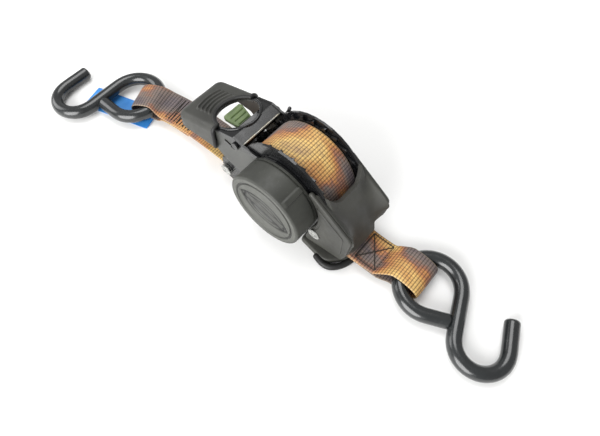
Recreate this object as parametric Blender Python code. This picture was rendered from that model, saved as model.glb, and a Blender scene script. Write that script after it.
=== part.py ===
# Retractable ratchet tie-down strap with two coated S-hooks.
# Metres, +Z up. The origin is on the floor under the drum axle, +X runs to the rear hook
# and -Y is the side of the spring housing.
import math

import bmesh
import bpy
import numpy as np
from mathutils import Matrix, Vector

# Webbing and drum
WEBBING_WIDTH = 0.0254
WEBBING_THICKNESS = 0.0013
ROLL_RADIUS = 0.0315
TURN_GAP = 0.00045
TURN_OVERLAP = math.radians(40)
AXLE_HEIGHT = 0.039
AXLE_RADIUS = 0.005
HUB_RADIUS = 0.009

# Clearances
SEAT_GAP = 0.0003
SIDE_GAP = 0.0004
UNION_SINK = 0.0005

# Ratchet wheels
TOOTH_COUNT = 24
TOOTH_TIP_RADIUS = 0.0332
TOOTH_ROOT_RADIUS = 0.0305
TOOTH_VALLEY_SHARE = 0.40
TOOTH_FACE_SHARE = 0.05
TOOTH_LAND_SHARE = 0.10
WHEEL_THICKNESS = 0.0014

# Frame
PLATE_THICKNESS = 0.0015
PLATE_TOP_RADIUS = 0.0344
PLATE_TOP_START = math.radians(2)
PLATE_TOP_END = math.radians(172)
BASE_THICKNESS = 0.002
BASE_FRONT_X = -0.044
BASE_REAR_X = 0.0145
NOSE_X = -0.057
NOSE_DROP = 0.0075
NOSE_RISE = 0.0095
NOSE_BACK_X = -0.047
NOSE_BACK_RISE = 0.0135
BELLY_X = -0.049
TAIL_X = 0.046
TAIL_TOP_Z = 0.009
TAIL_KNEE_X = 0.040
TAIL_KNEE_DROP = 0.015
PLATE_CORNER = 0.004
FOOT_HEIGHT = 0.0045
FOOT_FRONT_X = 0.016
FOOT_REAR_X = 0.0495
FOOT_WIDE_X = 0.0385
FOOT_HALF_WIDTH = 0.0245
FOOT_FRONT_HALF_WIDTH = 0.0212
FOOT_REAR_HALF_WIDTH = 0.012
FOOT_CORNER = 0.005
GUIDE_X = -0.0525
GUIDE_CLEARANCE = 0.0005
GUIDE_RADIUS = 0.0025
GUIDE_SLEEVE_WALL = 0.0014
GUIDE_HEAD_RADIUS = 0.0043
GUIDE_HEAD_HEIGHT = 0.0022
ANCHOR_X = 0.040
ANCHOR_Z = 0.0095
ANCHOR_RADIUS = 0.003
BUSH_RADIUS = 0.008
WASHER_RADIUS = 0.011
WASHER_THICKNESS = 0.0012
CLIP_RADIUS = 0.008
CLIP_THICKNESS = 0.001
AXLE_END_ROOM = 0.0006

# Spring housing
CASE_RADIUS = 0.026
CASE_FACE_Y = -0.036
CASE_WALL = 0.0018
CASE_BASE_THICKNESS = 0.0015
CASE_CHAMFER = 0.0022
CASE_RING_RADIUS = 0.021
CASE_RING_WIDTH = 0.0012
CASE_RING_DEPTH = 0.0006
ARBOR_RADIUS = 0.0068
SPRING_THICKNESS = 0.0008
SPRING_TURNS = 5
SPRING_TURN_STEPS = 16
SPRING_OUTER_ROOM = 0.0008

# Handle, with heights from the axle. Its top line runs from the bare rear edge to the end of the grip
ARM_THICKNESS = 0.0014
ARM_DISC_RADIUS = 0.0255
ARM_DISC_UPPER = math.radians(137)
ARM_DISC_LOWER = math.radians(225)
HANDLE_EDGE = (-0.0325, 0.0169)
HANDLE_SHOULDER = (-0.040, 0.0190)
HANDLE_SLOPE = (-0.052, 0.0155)
HANDLE_NECK = (-0.057, 0.0127)
HANDLE_END = (-0.085, 0.0041)
HANDLE_BELLY = (-0.050, -0.011)
HANDLE_TUCK = (-0.060, -0.0028)
HANDLE_END_DEPTH = 0.006
HANDLE_CORNER = 0.003
WEB_THICKNESS = 0.0014
WEB_DROP = 0.0005
FINGER_HOLE_X = -0.0535
FINGER_HOLE_HALF_LENGTH = 0.0145
FINGER_HOLE_HALF_WIDTH = 0.0150
GRIP_END_X = -0.091
GRIP_REAR_X = -0.0565
GRIP_END_RISE = 0.0052
GRIP_REAR_RISE = 0.0152
GRIP_SKIRT_DROP = 0.0043
GRIP_END_DROP = 0.0025
GRIP_WALL = 0.0013
GRIP_TOP_WALL = 0.0016
GRIP_END_WALL = 0.003
GRIP_EDGE_RADIUS = 0.003
GRIP_NOSE = 0.003
GRIP_NOSE_SHARE = 0.16
GRIP_SECTIONS = (0.0, 0.05, GRIP_NOSE_SHARE, 0.4, 0.7, 1.0)
HANDLE_PIN = (-0.0375, 0.0135)
HANDLE_PIN_RADIUS = 0.0016
HANDLE_PIN_HEAD_RADIUS = 0.0026
HANDLE_PIN_HEAD_HEIGHT = 0.0013

# Pawls
PAWL_THICKNESS = 0.0024
PAWL_TRAVEL = 0.0024
DRIVE_PAWL_ANGLE = math.radians(168)
DRIVE_PAWL_OUTER_RADIUS = 0.049
HOLDING_PAWL_ANGLE = math.radians(-27)
HOLDING_PAWL_OUTER_RADIUS = 0.0425
EAR_LENGTH = 0.0055
EAR_REACH = 0.0006
TAB_WIDTH = 0.015
TAB_THICKNESS = 0.003
TAB_END_RADIUS = 0.0605
TAB_RIDGE_COUNT = 3
TAB_RIDGE_HEIGHT = 0.0006

# Release lever: it clears the spring housing. Its crest, shoulder and upper web are placed from the axle,
# the rest from the floor
LEVER_PIVOT_ANGLE = math.radians(-35.6)
LEVER_PIVOT_CLEARANCE = 0.00177
LEVER_PIVOT_RADIUS = 0.0025
LEVER_PIVOT_BORE = 0.0016
LEVER_PIVOT_HEAD = 0.0042
LEVER_PIVOT_HEAD_HEIGHT = 0.0008
WING_THICKNESS = 0.003
WING_CLEARANCE = 0.0013
WING_FRONT_LOW = math.radians(-33)
WING_FRONT_HIGH = math.radians(44)
WING_CREST = (0.021, 0.022)
WING_SHOULDER = (0.052, -0.0005)
WING_HEEL = (0.0495, 0.017)
WING_FOOT = (0.047, 0.010)
WING_TOE = (0.0175, 0.0052)
WING_INSTEP = (0.020, 0.014)
WING_CORNER = 0.002
WING_SHOULDER_RADIUS = 0.005
LEVER_WEB_THICKNESS = 0.003
LEVER_WEB_TOP = (0.036, 0.003)
LEVER_WEB_BEND = (0.044, -0.009)
LEVER_WEB_LOW = (0.050, 0.0155)

# Straps, their sewn loops and the tag
LOOP_WIDTH = 0.014
LOOP_ROOM = 0.00145
LOOP_FLOOR_GAP = 0.0008
LOOP_START = math.radians(125)
LOOP_END = math.radians(-115)
PIN_LOOP_START = math.radians(285)
PIN_LOOP_END = math.radians(60)
LAYER_GAP = 0.0005
SEWN_Z = 0.0066
REAR_SEWN_FRONT_X = 0.050
REAR_SEWN_REAR_X = 0.0635
REAR_NARROW_X = 0.0705
ARCH_Z = 0.0135
ARCH_X = -0.092
ARCH_FALL = 0.002
ARCH_SWELL = 0.0005
FRONT_SEWN_X = -0.118
FRONT_LAP_X = -0.096
LAP_FALL = 0.0004
FRONT_NARROW_BACK = 0.010
FRONT_NARROW_RUN = 0.010
FRONT_PULL_SHARE = 0.25
TAG_WIDTH = 0.0196
TAG_THICKNESS = 0.0004
TAG_STITCH = (-0.1165, -0.0108, 0.0090)
TAG_FALL = (-0.1235, -0.0129, 0.0052)
TAG_LANDING = (-0.1305, -0.0149, 0.0009)
TAG_REST = (-0.1385, -0.0173)
TAG_END = (-0.1861, -0.0314)

# S-hooks: plan sizes along u, away from the strap, and across, v
HOOK_WIRE_RADIUS = 0.00475
HOOK_BEND_RADIUS = 0.016
HOOK_BEND_CENTRE = (0.0545, -0.0063)
HOOK_EYE_RADIUS = 0.0192
HOOK_EYE_CENTRE = (0.012, 0.0045)
HOOK_EYE_END = math.radians(285)
HOOK_TIP_ANGLE = math.radians(24)
HOOK_TIP_LENGTH = 0.021
HOOK_BUTT_RISE = 0.0073
HOOK_BUTT_GAP = 0.0005
HOOK_BAR_U = -0.0062
HOOK_BAR_V = 0.0043
REAR_HOOK_PLACE = (0.0867, -0.0008)
FRONT_HOOK_PLACE = (-0.1423, -0.0128)
FRONT_HOOK_TURN = math.radians(23.5)

# Facets
ROUND_SIDES = 32
SMALL_SIDES = 14
NUT_SIDES = 6
WIRE_BEVEL_RESOLUTION = 3
CORNER_STEPS = 4
LOOP_STEPS = 14
PIN_STEPS = 8
ROUTE_STEPS = 4
BEND_STEPS = 12
EYE_STEPS = 16

# Positions across the part, worked out from the webbing outwards
WHEEL_IN = WEBBING_WIDTH / 2 + SIDE_GAP
WHEEL_OUT = WHEEL_IN + WHEEL_THICKNESS
PLATE_IN = WHEEL_OUT + SEAT_GAP
PLATE_OUT = PLATE_IN + PLATE_THICKNESS
ARM_IN = PLATE_OUT + SEAT_GAP
ARM_OUT = ARM_IN + ARM_THICKNESS
GRIP_IN = ARM_OUT + SEAT_GAP
GRIP_OUT = GRIP_IN + GRIP_WALL
WING_OUT = ARM_IN + WING_THICKNESS
AXLE = (0.0, AXLE_HEIGHT)
ROLL_MID_RADIUS = ROLL_RADIUS - WEBBING_THICKNESS / 2
STRAP_Z = AXLE_HEIGHT - ROLL_MID_RADIUS
SLEEVE_RADIUS = GUIDE_RADIUS + SEAT_GAP + GUIDE_SLEEVE_WALL
GUIDE = (GUIDE_X, STRAP_Z + WEBBING_THICKNESS / 2 + GUIDE_CLEARANCE + SLEEVE_RADIUS)
LEVER_REACH = CASE_RADIUS + LEVER_PIVOT_CLEARANCE + LEVER_PIVOT_HEAD
LEVER_PIVOT = (LEVER_REACH * math.cos(LEVER_PIVOT_ANGLE),
               AXLE_HEIGHT + LEVER_REACH * math.sin(LEVER_PIVOT_ANGLE))
LOOP_RADIUS = HOOK_WIRE_RADIUS + LOOP_ROOM + WEBBING_THICKNESS / 2
BAR_Z = LOOP_RADIUS + WEBBING_THICKNESS / 2 + LOOP_FLOOR_GAP
LAYER_STEP = WEBBING_THICKNESS + LAYER_GAP
PAWL_REST_RADIUS = TOOTH_TIP_RADIUS + SEAT_GAP
DRIVE_BODY_RADIUS = PLATE_TOP_RADIUS + PAWL_TRAVEL + SIDE_GAP
HOLDING_BODY_RADIUS = ROLL_RADIUS + PAWL_TRAVEL + SIDE_GAP


def clear_scene():
    for obj in list(bpy.data.objects):
        bpy.data.objects.remove(obj, do_unlink=True)


def finish(name, colour, roughness, metallic=0.0):
    made = bpy.data.materials.new(name)
    made.use_nodes = True
    shader = made.node_tree.nodes["Principled BSDF"]
    shader.inputs["Base Color"].default_value = (*colour, 1.0)
    shader.inputs["Roughness"].default_value = roughness
    shader.inputs["Metallic"].default_value = metallic
    return made


def make_finishes():
    return {
        "black_steel": finish("black_steel", (0.02, 0.02, 0.022), 0.35, 0.6),
        "bright_steel": finish("bright_steel", (0.62, 0.62, 0.60), 0.3, 1.0),
        "spring_steel": finish("spring_steel", (0.25, 0.27, 0.32), 0.35, 1.0),
        "moulded_rubber": finish("moulded_rubber", (0.07, 0.07, 0.062), 0.65),
        "case_plastic": finish("case_plastic", (0.12, 0.12, 0.11), 0.5),
        "webbing": finish("webbing", (0.55, 0.30, 0.12), 0.8),
        "tab_plastic": finish("tab_plastic", (0.28, 0.35, 0.17), 0.5),
        "tag_vinyl": finish("tag_vinyl", (0.05, 0.28, 0.70), 0.5),
        "hook_vinyl": finish("hook_vinyl", (0.07, 0.08, 0.082), 0.25),
    }


def joint_empty(name, place):
    empty = bpy.data.objects.new(name, None)
    empty.location = place
    bpy.context.collection.objects.link(empty)
    return empty


def add(obj, body, material, smooth_angle=math.radians(35)):
    """Links the object, hangs it on its body's empty and gives it its finish."""
    bpy.context.collection.objects.link(obj)
    obj.parent = body
    obj.matrix_parent_inverse = Matrix.Translation(-Vector(body.location))
    obj.data.materials.append(material)
    if obj.type == "MESH":
        obj.data.shade_smooth()
        obj.data.set_sharp_from_angle(angle=smooth_angle)
    return obj


def mesh_object(name, bm):
    bmesh.ops.recalc_face_normals(bm, faces=bm.faces[:])
    mesh = bpy.data.meshes.new(name)
    bm.to_mesh(mesh)
    bm.free()
    return bpy.data.objects.new(name, mesh)


def at_angle(centre, radius, angle):
    return (centre[0] + radius * math.cos(angle), centre[1] + radius * math.sin(angle))


def arc(centre, radius, start, end, steps):
    return [at_angle(centre, radius, a) for a in np.linspace(start, end, steps + 1)]


def circle(centre, radius, sides):
    return arc(centre, radius, 0.0, 2 * math.pi * (1 - 1 / sides), sides - 1)


def rounded(corners, steps=CORNER_STEPS):
    """Outline through (x, z, radius) corners, each corner with a radius turned into an arc."""
    points = []
    for i, (x, z, radius) in enumerate(corners):
        here = Vector((x, z))
        if radius == 0:
            points.append((x, z))
            continue
        back = (Vector(corners[i - 1][:2]) - here).normalized()
        ahead = (Vector(corners[(i + 1) % len(corners)][:2]) - here).normalized()
        half = math.acos(max(-1.0, min(1.0, back.dot(ahead)))) / 2
        centre = here + (back + ahead).normalized() * radius / math.sin(half)
        first = here + back * radius / math.tan(half) - centre
        last = here + ahead * radius / math.tan(half) - centre
        start = math.atan2(first.y, first.x)
        turn = (math.atan2(last.y, last.x) - start + math.pi) % (2 * math.pi) - math.pi
        points += arc(centre, radius, start, start + turn, steps)
    return points


def side_plate(name, outline, low_y, high_y, holes=()):
    """A flat plate cut in the XZ plane, with holes, between two Y values."""
    bm = bmesh.new()
    for loop in (outline, *holes):
        verts = [bm.verts.new((x, low_y, z)) for x, z in loop]
        for i, vert in enumerate(verts):
            bm.edges.new((verts[i - 1], vert))
    bmesh.ops.triangle_fill(bm, use_beauty=True, edges=bm.edges[:])
    raised = bmesh.ops.extrude_face_region(bm, geom=bm.faces[:])["geom"]
    moved = [item for item in raised if isinstance(item, bmesh.types.BMVert)]
    bmesh.ops.translate(bm, verts=moved, vec=(0, high_y - low_y, 0))
    return mesh_object(name, bm)


def floor_plate(name, outline, low_z, high_z):
    """A flat plate cut in the XY plane."""
    bm = bmesh.new()
    bottom = bm.faces.new([bm.verts.new((x, y, low_z)) for x, y in outline])
    raised = bmesh.ops.extrude_face_region(bm, geom=[bottom])["geom"]
    moved = [item for item in raised if isinstance(item, bmesh.types.BMVert)]
    bmesh.ops.translate(bm, verts=moved, vec=(0, 0, high_z - low_z))
    return mesh_object(name, bm)


def turned(name, profile, centre, sides=ROUND_SIDES):
    """A solid turned about a line along Y. The profile is a closed outline of (radius, y)."""
    bm = bmesh.new()
    rings = []
    for radius, y in profile:
        if radius == 0:
            rings.append([bm.verts.new((centre[0], y, centre[1]))])
            continue
        ring = [bm.verts.new((x, y, z)) for x, z in circle(centre, radius, sides)]
        rings.append(ring)
    for i, ring in enumerate(rings):
        before = rings[i - 1]
        for j in range(sides):
            corners = [before[j % len(before)], before[(j + 1) % sides % len(before)]]
            corners += [ring[(j + 1) % sides % len(ring)], ring[j % len(ring)]]
            distinct = list(dict.fromkeys(corners))
            if len(distinct) > 2:
                bm.faces.new(distinct)
    return mesh_object(name, bm)


def ring(name, inner, outer, low_y, high_y, centre, sides=ROUND_SIDES):
    profile = [(inner, low_y), (outer, low_y), (outer, high_y), (inner, high_y)]
    return turned(name, profile, centre, sides)


def rod(name, spans, centre, sides=SMALL_SIDES):
    """A stepped round bar along Y: spans are (radius, low y, high y) from one end to the other."""
    profile = [(0, spans[0][1])]
    for radius, low_y, high_y in spans:
        profile += [(radius, low_y), (radius, high_y)]
    profile.append((0, spans[-1][2]))
    return turned(name, profile, centre, sides)


def band(name, path, sides_out, sides_in, closed):
    """A flat band: for each point of the path, its outer and inner edges on the two sides of the width."""
    bm = bmesh.new()
    rows = []
    for i in range(len(path)):
        corners = (sides_out[0][i], sides_out[1][i], sides_in[1][i], sides_in[0][i])
        rows.append([bm.verts.new(point) for point in corners])
    for i, row in enumerate(rows):
        if i == 0 and not closed:
            continue
        before = rows[i - 1]
        for j in range(4):
            k = (j + 1) % 4
            bm.faces.new((before[j], before[k], row[k], row[j]))
    if not closed:
        bm.faces.new(rows[0])
        bm.faces.new(rows[-1])
    return mesh_object(name, bm)


def flat_band(name, path, across, left, right, thickness, closed=False):
    """A band of webbing along 3-D points: across gives the direction of its width at each point."""
    path = np.array(path)
    across = np.array(across)
    if closed:
        ahead = np.roll(path, -1, axis=0) - np.roll(path, 1, axis=0)
    else:
        ahead = np.gradient(path, axis=0)
    normal = np.cross(ahead, across)
    normal *= thickness / 2 / np.linalg.norm(normal, axis=1)[:, None]
    low = path - across * np.array(left)[:, None]
    high = path + across * np.array(right)[:, None]
    return band(name, path, (low + normal, high + normal), (low - normal, high - normal), closed)


def smooth_route(points, steps):
    """A Catmull-Rom curve through the points, with the same number of steps between each two."""
    points = np.array(points, float)
    padded = np.vstack([2 * points[0] - points[1], points, 2 * points[-1] - points[-2]])
    t = np.linspace(0, 1, steps, endpoint=False)[:, None]
    route = []
    for a, b, c, d in zip(padded, padded[1:], padded[2:], padded[3:]):
        bend = 2 * a - 5 * b + 4 * c - d
        twist = 3 * b - a - 3 * c + d
        route.append(b + t * (c - a) / 2 + t**2 * bend / 2 + t**3 * twist / 2)
    return np.vstack([*route, points[-1:]])


def wire(name, points, radius, resolution=WIRE_BEVEL_RESOLUTION):
    curve = bpy.data.curves.new(name, "CURVE")
    curve.dimensions = "3D"
    curve.bevel_depth = radius
    curve.bevel_resolution = resolution
    curve.use_fill_caps = True
    spline = curve.splines.new("POLY")
    spline.points.add(len(points) - 1)
    spline.points.foreach_set("co", np.hstack([points, np.ones((len(points), 1))]).ravel())
    spline.use_smooth = True
    return bpy.data.objects.new(name, curve)


def combine(target, other, operation):
    other.hide_render = True
    other.display_type = "WIRE"
    bpy.context.collection.objects.link(other)
    cut = target.modifiers.new(other.name, "BOOLEAN")
    cut.operation = operation
    cut.solver = "EXACT"
    cut.object = other


def radial_box(angle, inner, outer, thickness):
    """Outline in XZ of a bar that lies along a radius of the drum."""
    along = Vector((math.cos(angle), math.sin(angle)))
    side = Vector((-along.y, along.x)) * thickness / 2
    centre = Vector(AXLE)
    ends = ((inner, 1), (outer, 1), (outer, -1), (inner, -1))
    return [tuple(centre + along * radius + side * sign) for radius, sign in ends]


def ratchet_outline():
    """Teeth whose steep faces stop the drum from paying out, with a valley under each pawl."""
    pitch = 2 * math.pi / TOOTH_COUNT
    valley_start = DRIVE_PAWL_ANGLE - pitch * TOOTH_VALLEY_SHARE / 2
    rise = TOOTH_VALLEY_SHARE + TOOTH_FACE_SHARE
    points = []
    for tooth in range(TOOTH_COUNT):
        start = valley_start + tooth * pitch
        points.append(at_angle(AXLE, TOOTH_ROOT_RADIUS, start))
        points.append(at_angle(AXLE, TOOTH_ROOT_RADIUS, start + pitch * TOOTH_VALLEY_SHARE))
        points.append(at_angle(AXLE, TOOTH_TIP_RADIUS, start + pitch * rise))
        points.append(at_angle(AXLE, TOOTH_TIP_RADIUS, start + pitch * (rise + TOOTH_LAND_SHARE)))
    return points


def pawl_slot(angle, inner, outer):
    return radial_box(angle, inner - PAWL_TRAVEL - SEAT_GAP, outer + SEAT_GAP, PAWL_THICKNESS + 2 * SEAT_GAP)


def ear_span(outer_radius):
    """Radii between which a pawl's guide ears lie."""
    return (outer_radius - EAR_LENGTH - SIDE_GAP, outer_radius - SIDE_GAP)


def frame_plate_outline():
    front = at_angle(AXLE, PLATE_TOP_RADIUS, PLATE_TOP_END)
    rear = at_angle(AXLE, PLATE_TOP_RADIUS, PLATE_TOP_START)
    over_base = BASE_THICKNESS + SEAT_GAP
    over_foot = FOOT_HEIGHT + SEAT_GAP
    corners = [
        (*front, 0),
        (NOSE_BACK_X, GUIDE[1] + NOSE_BACK_RISE, PLATE_CORNER),
        (NOSE_X, GUIDE[1] + NOSE_RISE, PLATE_CORNER),
        (NOSE_X, GUIDE[1] - NOSE_DROP, PLATE_CORNER),
        (BELLY_X, over_base, PLATE_CORNER),
        (BASE_REAR_X, over_base, 0),
        (BASE_REAR_X, over_foot, 0),
        (TAIL_X, over_foot, 0),
        (TAIL_X, TAIL_TOP_Z, 0),
        (TAIL_KNEE_X, AXLE_HEIGHT - TAIL_KNEE_DROP, PLATE_CORNER),
        (*rear, 0),
    ]
    top = arc(AXLE, PLATE_TOP_RADIUS, PLATE_TOP_START, PLATE_TOP_END, ROUND_SIDES // 2)
    return rounded(corners) + top[1:-1]


def build_frame(body, finishes):
    black = finishes["black_steel"]
    bright = finishes["bright_steel"]
    ears = ear_span(HOLDING_PAWL_OUTER_RADIUS)
    anchor = (ANCHOR_X, ANCHOR_Z)
    holes = [
        circle(AXLE, BUSH_RADIUS + SEAT_GAP, ROUND_SIDES),
        circle(GUIDE, GUIDE_RADIUS + SEAT_GAP, SMALL_SIDES),
        circle(anchor, ANCHOR_RADIUS + SEAT_GAP, SMALL_SIDES),
        circle(LEVER_PIVOT, LEVER_PIVOT_RADIUS + SEAT_GAP, SMALL_SIDES),
        pawl_slot(HOLDING_PAWL_ANGLE, *ears),
    ]
    outline = frame_plate_outline()
    for side, low, high in (("near", -PLATE_OUT, -PLATE_IN), ("far", PLATE_IN, PLATE_OUT)):
        add(side_plate(f"frame_plate_{side}", outline, low, high, holes), body, black)

    base = [(BASE_FRONT_X, -PLATE_OUT), (BASE_REAR_X, -PLATE_OUT), (BASE_REAR_X, PLATE_OUT),
            (BASE_FRONT_X, PLATE_OUT)]
    add(floor_plate("base_plate", base, 0, BASE_THICKNESS), body, black)

    foot = [
        (FOOT_FRONT_X, -FOOT_FRONT_HALF_WIDTH, FOOT_CORNER / 2),
        (FOOT_WIDE_X, -FOOT_HALF_WIDTH, FOOT_CORNER),
        (FOOT_REAR_X, -FOOT_REAR_HALF_WIDTH, FOOT_CORNER),
        (FOOT_REAR_X, FOOT_REAR_HALF_WIDTH, FOOT_CORNER),
        (FOOT_WIDE_X, FOOT_HALF_WIDTH, FOOT_CORNER),
        (FOOT_FRONT_X, FOOT_FRONT_HALF_WIDTH, FOOT_CORNER / 2),
    ]
    add(floor_plate("rear_foot", rounded(foot), 0, FOOT_HEIGHT), body, finishes["moulded_rubber"])

    head_in = PLATE_OUT + SEAT_GAP
    head_out = head_in + GUIDE_HEAD_HEIGHT
    bolt = [(GUIDE_HEAD_RADIUS, -head_out, -head_in), (GUIDE_RADIUS, -head_in, head_out)]
    add(rod("guide_bolt", bolt, GUIDE), body, bright)
    nut_hole = [circle(GUIDE, GUIDE_RADIUS + SEAT_GAP, SMALL_SIDES)]
    hexagon = circle(GUIDE, GUIDE_HEAD_RADIUS, NUT_SIDES)
    add(side_plate("guide_nut", hexagon, head_in, head_out, nut_hole), body, bright)
    inside = PLATE_IN - SEAT_GAP
    bore = GUIDE_RADIUS + SEAT_GAP
    made = ring("guide_sleeve", bore, SLEEVE_RADIUS, -inside, inside, GUIDE, SMALL_SIDES)
    add(made, body, black)

    add(rod("anchor_pin", [(ANCHOR_RADIUS, -PLATE_OUT, PLATE_OUT)], anchor), body, bright)

    seat_out = WING_OUT + SEAT_GAP
    rivet = [
        (LEVER_PIVOT_BORE, PLATE_IN),
        (LEVER_PIVOT_RADIUS, PLATE_IN),
        (LEVER_PIVOT_RADIUS, seat_out),
        (LEVER_PIVOT_HEAD, seat_out),
        (LEVER_PIVOT_HEAD, seat_out + LEVER_PIVOT_HEAD_HEIGHT),
        (LEVER_PIVOT_BORE, seat_out + LEVER_PIVOT_HEAD_HEIGHT),
    ]
    for side, sign in (("near", -1), ("far", 1)):
        profile = [(radius, sign * y) for radius, y in rivet]
        add(turned(f"lever_rivet_{side}", profile, LEVER_PIVOT, SMALL_SIDES), body, bright)

    bore = AXLE_RADIUS + SEAT_GAP
    base_in = ARM_OUT + SEAT_GAP
    bush_near_end = base_in + CASE_BASE_THICKNESS
    add(ring("pivot_bush_near", bore, BUSH_RADIUS, -bush_near_end, -PLATE_IN, AXLE), body, bright)
    add(ring("pivot_bush_far", bore, BUSH_RADIUS, PLATE_IN, ARM_OUT, AXLE), body, bright)
    washer_in = ARM_OUT + SEAT_GAP
    washer_out = washer_in + WASHER_THICKNESS
    add(ring("pivot_washer", bore, WASHER_RADIUS, washer_in, washer_out, AXLE), body, bright)


def build_spring_housing(body, finishes):
    plastic = finishes["case_plastic"]
    base_in = ARM_OUT + SEAT_GAP
    base_out = base_in + CASE_BASE_THICKNESS
    base_bore = BUSH_RADIUS + SEAT_GAP
    add(ring("spring_case_base", base_bore, CASE_RADIUS, -base_out, -base_in, AXLE), body, plastic)

    rim = -(base_out + SEAT_GAP)
    inside = CASE_RADIUS - CASE_WALL
    floor_y = CASE_FACE_Y + CASE_WALL
    groove_in = CASE_RING_RADIUS - CASE_RING_WIDTH / 2
    groove_out = CASE_RING_RADIUS + CASE_RING_WIDTH / 2
    groove_y = CASE_FACE_Y + CASE_RING_DEPTH
    cup = [
        (0, CASE_FACE_Y),
        (groove_in, CASE_FACE_Y),
        (groove_in, groove_y),
        (groove_out, groove_y),
        (groove_out, CASE_FACE_Y),
        (CASE_RADIUS - CASE_CHAMFER, CASE_FACE_Y),
        (CASE_RADIUS, CASE_FACE_Y + CASE_CHAMFER),
        (CASE_RADIUS, rim),
        (inside, rim),
        (inside, floor_y),
        (0, floor_y),
    ]
    add(turned("spring_case", cup, AXLE), body, plastic)

    inner = ARBOR_RADIUS + SEAT_GAP + SPRING_THICKNESS / 2
    outer = inside - SPRING_OUTER_ROOM - SPRING_THICKNESS / 2
    low_y = floor_y + SIDE_GAP
    high_y = rim - SIDE_GAP
    angle = np.linspace(0, 2 * math.pi * SPRING_TURNS, SPRING_TURN_STEPS * SPRING_TURNS + 1)
    radius = inner + (outer - inner) * angle / angle[-1]
    path = np.stack([radius * np.cos(angle), np.full_like(angle, (low_y + high_y) / 2),
                     AXLE_HEIGHT + radius * np.sin(angle)], axis=1)
    across = np.tile((0.0, 1.0, 0.0), (len(path), 1))
    half = np.full(len(path), (high_y - low_y) / 2)
    made = flat_band("power_spring", path, across, half, half, SPRING_THICKNESS)
    add(made, body, finishes["spring_steel"])


def build_drum(body, finishes):
    black = finishes["black_steel"]
    bright = finishes["bright_steel"]
    arbor_end = CASE_FACE_Y + CASE_WALL + SIDE_GAP
    washer_out = ARM_OUT + SEAT_GAP + WASHER_THICKNESS
    clip_in = washer_out + SEAT_GAP
    clip_out = clip_in + CLIP_THICKNESS
    axle = [(AXLE_RADIUS, arbor_end, clip_out + AXLE_END_ROOM)]
    add(rod("drum_axle", axle, AXLE, ROUND_SIDES // 2), body, bright)
    bore = AXLE_RADIUS + SEAT_GAP
    add(ring("axle_clip", bore, CLIP_RADIUS, clip_in, clip_out, AXLE, SMALL_SIDES), body, bright)
    arbor_in = -(ARM_OUT + SEAT_GAP + CASE_BASE_THICKNESS + 2 * SEAT_GAP)
    made = ring("spring_arbor", bore, ARBOR_RADIUS, arbor_end, arbor_in, AXLE, SMALL_SIDES)
    add(made, body, black)

    hub = WHEEL_IN - SEAT_GAP
    add(ring("spool_hub", bore, HUB_RADIUS, -hub, hub, AXLE, ROUND_SIDES // 2), body, black)
    outline = ratchet_outline()
    holes = [circle(AXLE, bore, ROUND_SIDES // 2)]
    for side, low, high in (("near", -WHEEL_OUT, -WHEEL_IN), ("far", WHEEL_IN, WHEEL_OUT)):
        add(side_plate(f"ratchet_wheel_{side}", outline, low, high, holes), body, black)

    pitch = WEBBING_THICKNESS + TURN_GAP
    sweep = 2 * math.pi + TURN_OVERLAP
    steps = ROUND_SIDES + ROUND_SIDES // 4
    first = SEAT_GAP / ROLL_MID_RADIUS
    angle = np.linspace(first, sweep, steps) - math.pi / 2
    radius = ROLL_MID_RADIUS - pitch * (angle + math.pi / 2) / (2 * math.pi)
    path = np.stack([radius * np.cos(angle), np.zeros(steps),
                     AXLE_HEIGHT + radius * np.sin(angle)], axis=1)
    across = np.tile((0.0, 1.0, 0.0), (steps, 1))
    half = np.full(steps, WEBBING_WIDTH / 2)
    made = flat_band("webbing_outer_turn", path, across, half, half, WEBBING_THICKNESS)
    add(made, body, finishes["webbing"])
    lapped = angle > angle[0] + 2 * math.pi
    chord = 1 - math.cos(math.pi / ROUND_SIDES)
    gap = np.min(np.interp(angle[lapped] - 2 * math.pi, angle, radius) - radius[lapped])
    print(f"least gap of the outer turn to itself: {(gap - WEBBING_THICKNESS) * 1000:.2f} mm")
    core = radius[-1] - WEBBING_THICKNESS / 2 - SEAT_GAP - radius[-1] * chord
    half_width = WEBBING_WIDTH / 2
    core_bore = HUB_RADIUS + SEAT_GAP
    made = ring("webbing_core", core_bore, core, -half_width, half_width, AXLE)
    add(made, body, finishes["webbing"])


def from_axle(point):
    """A point given by its x and its height over the axle."""
    return (point[0], AXLE_HEIGHT + point[1])


def handle_top_line():
    return [from_axle(p) for p in (HANDLE_EDGE, HANDLE_SHOULDER, HANDLE_SLOPE, HANDLE_NECK, HANDLE_END)]


def handle_arm_outline():
    upper = at_angle(AXLE, ARM_DISC_RADIUS, ARM_DISC_UPPER)
    lower = at_angle(AXLE, ARM_DISC_RADIUS, ARM_DISC_LOWER)
    *bends, end = handle_top_line()
    corners = [
        (*upper, 0),
        *((*point, HANDLE_CORNER) for point in bends),
        (*end, 0),
        (end[0], end[1] - HANDLE_END_DEPTH, 0),
        (*from_axle(HANDLE_TUCK), HANDLE_CORNER),
        (*from_axle(HANDLE_BELLY), HANDLE_CORNER),
        (*lower, 0),
    ]
    round_end = ARM_DISC_UPPER + 2 * math.pi
    disc = arc(AXLE, ARM_DISC_RADIUS, ARM_DISC_LOWER, round_end, ROUND_SIDES // 2)
    return rounded(corners) + disc[1:-1]


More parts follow.
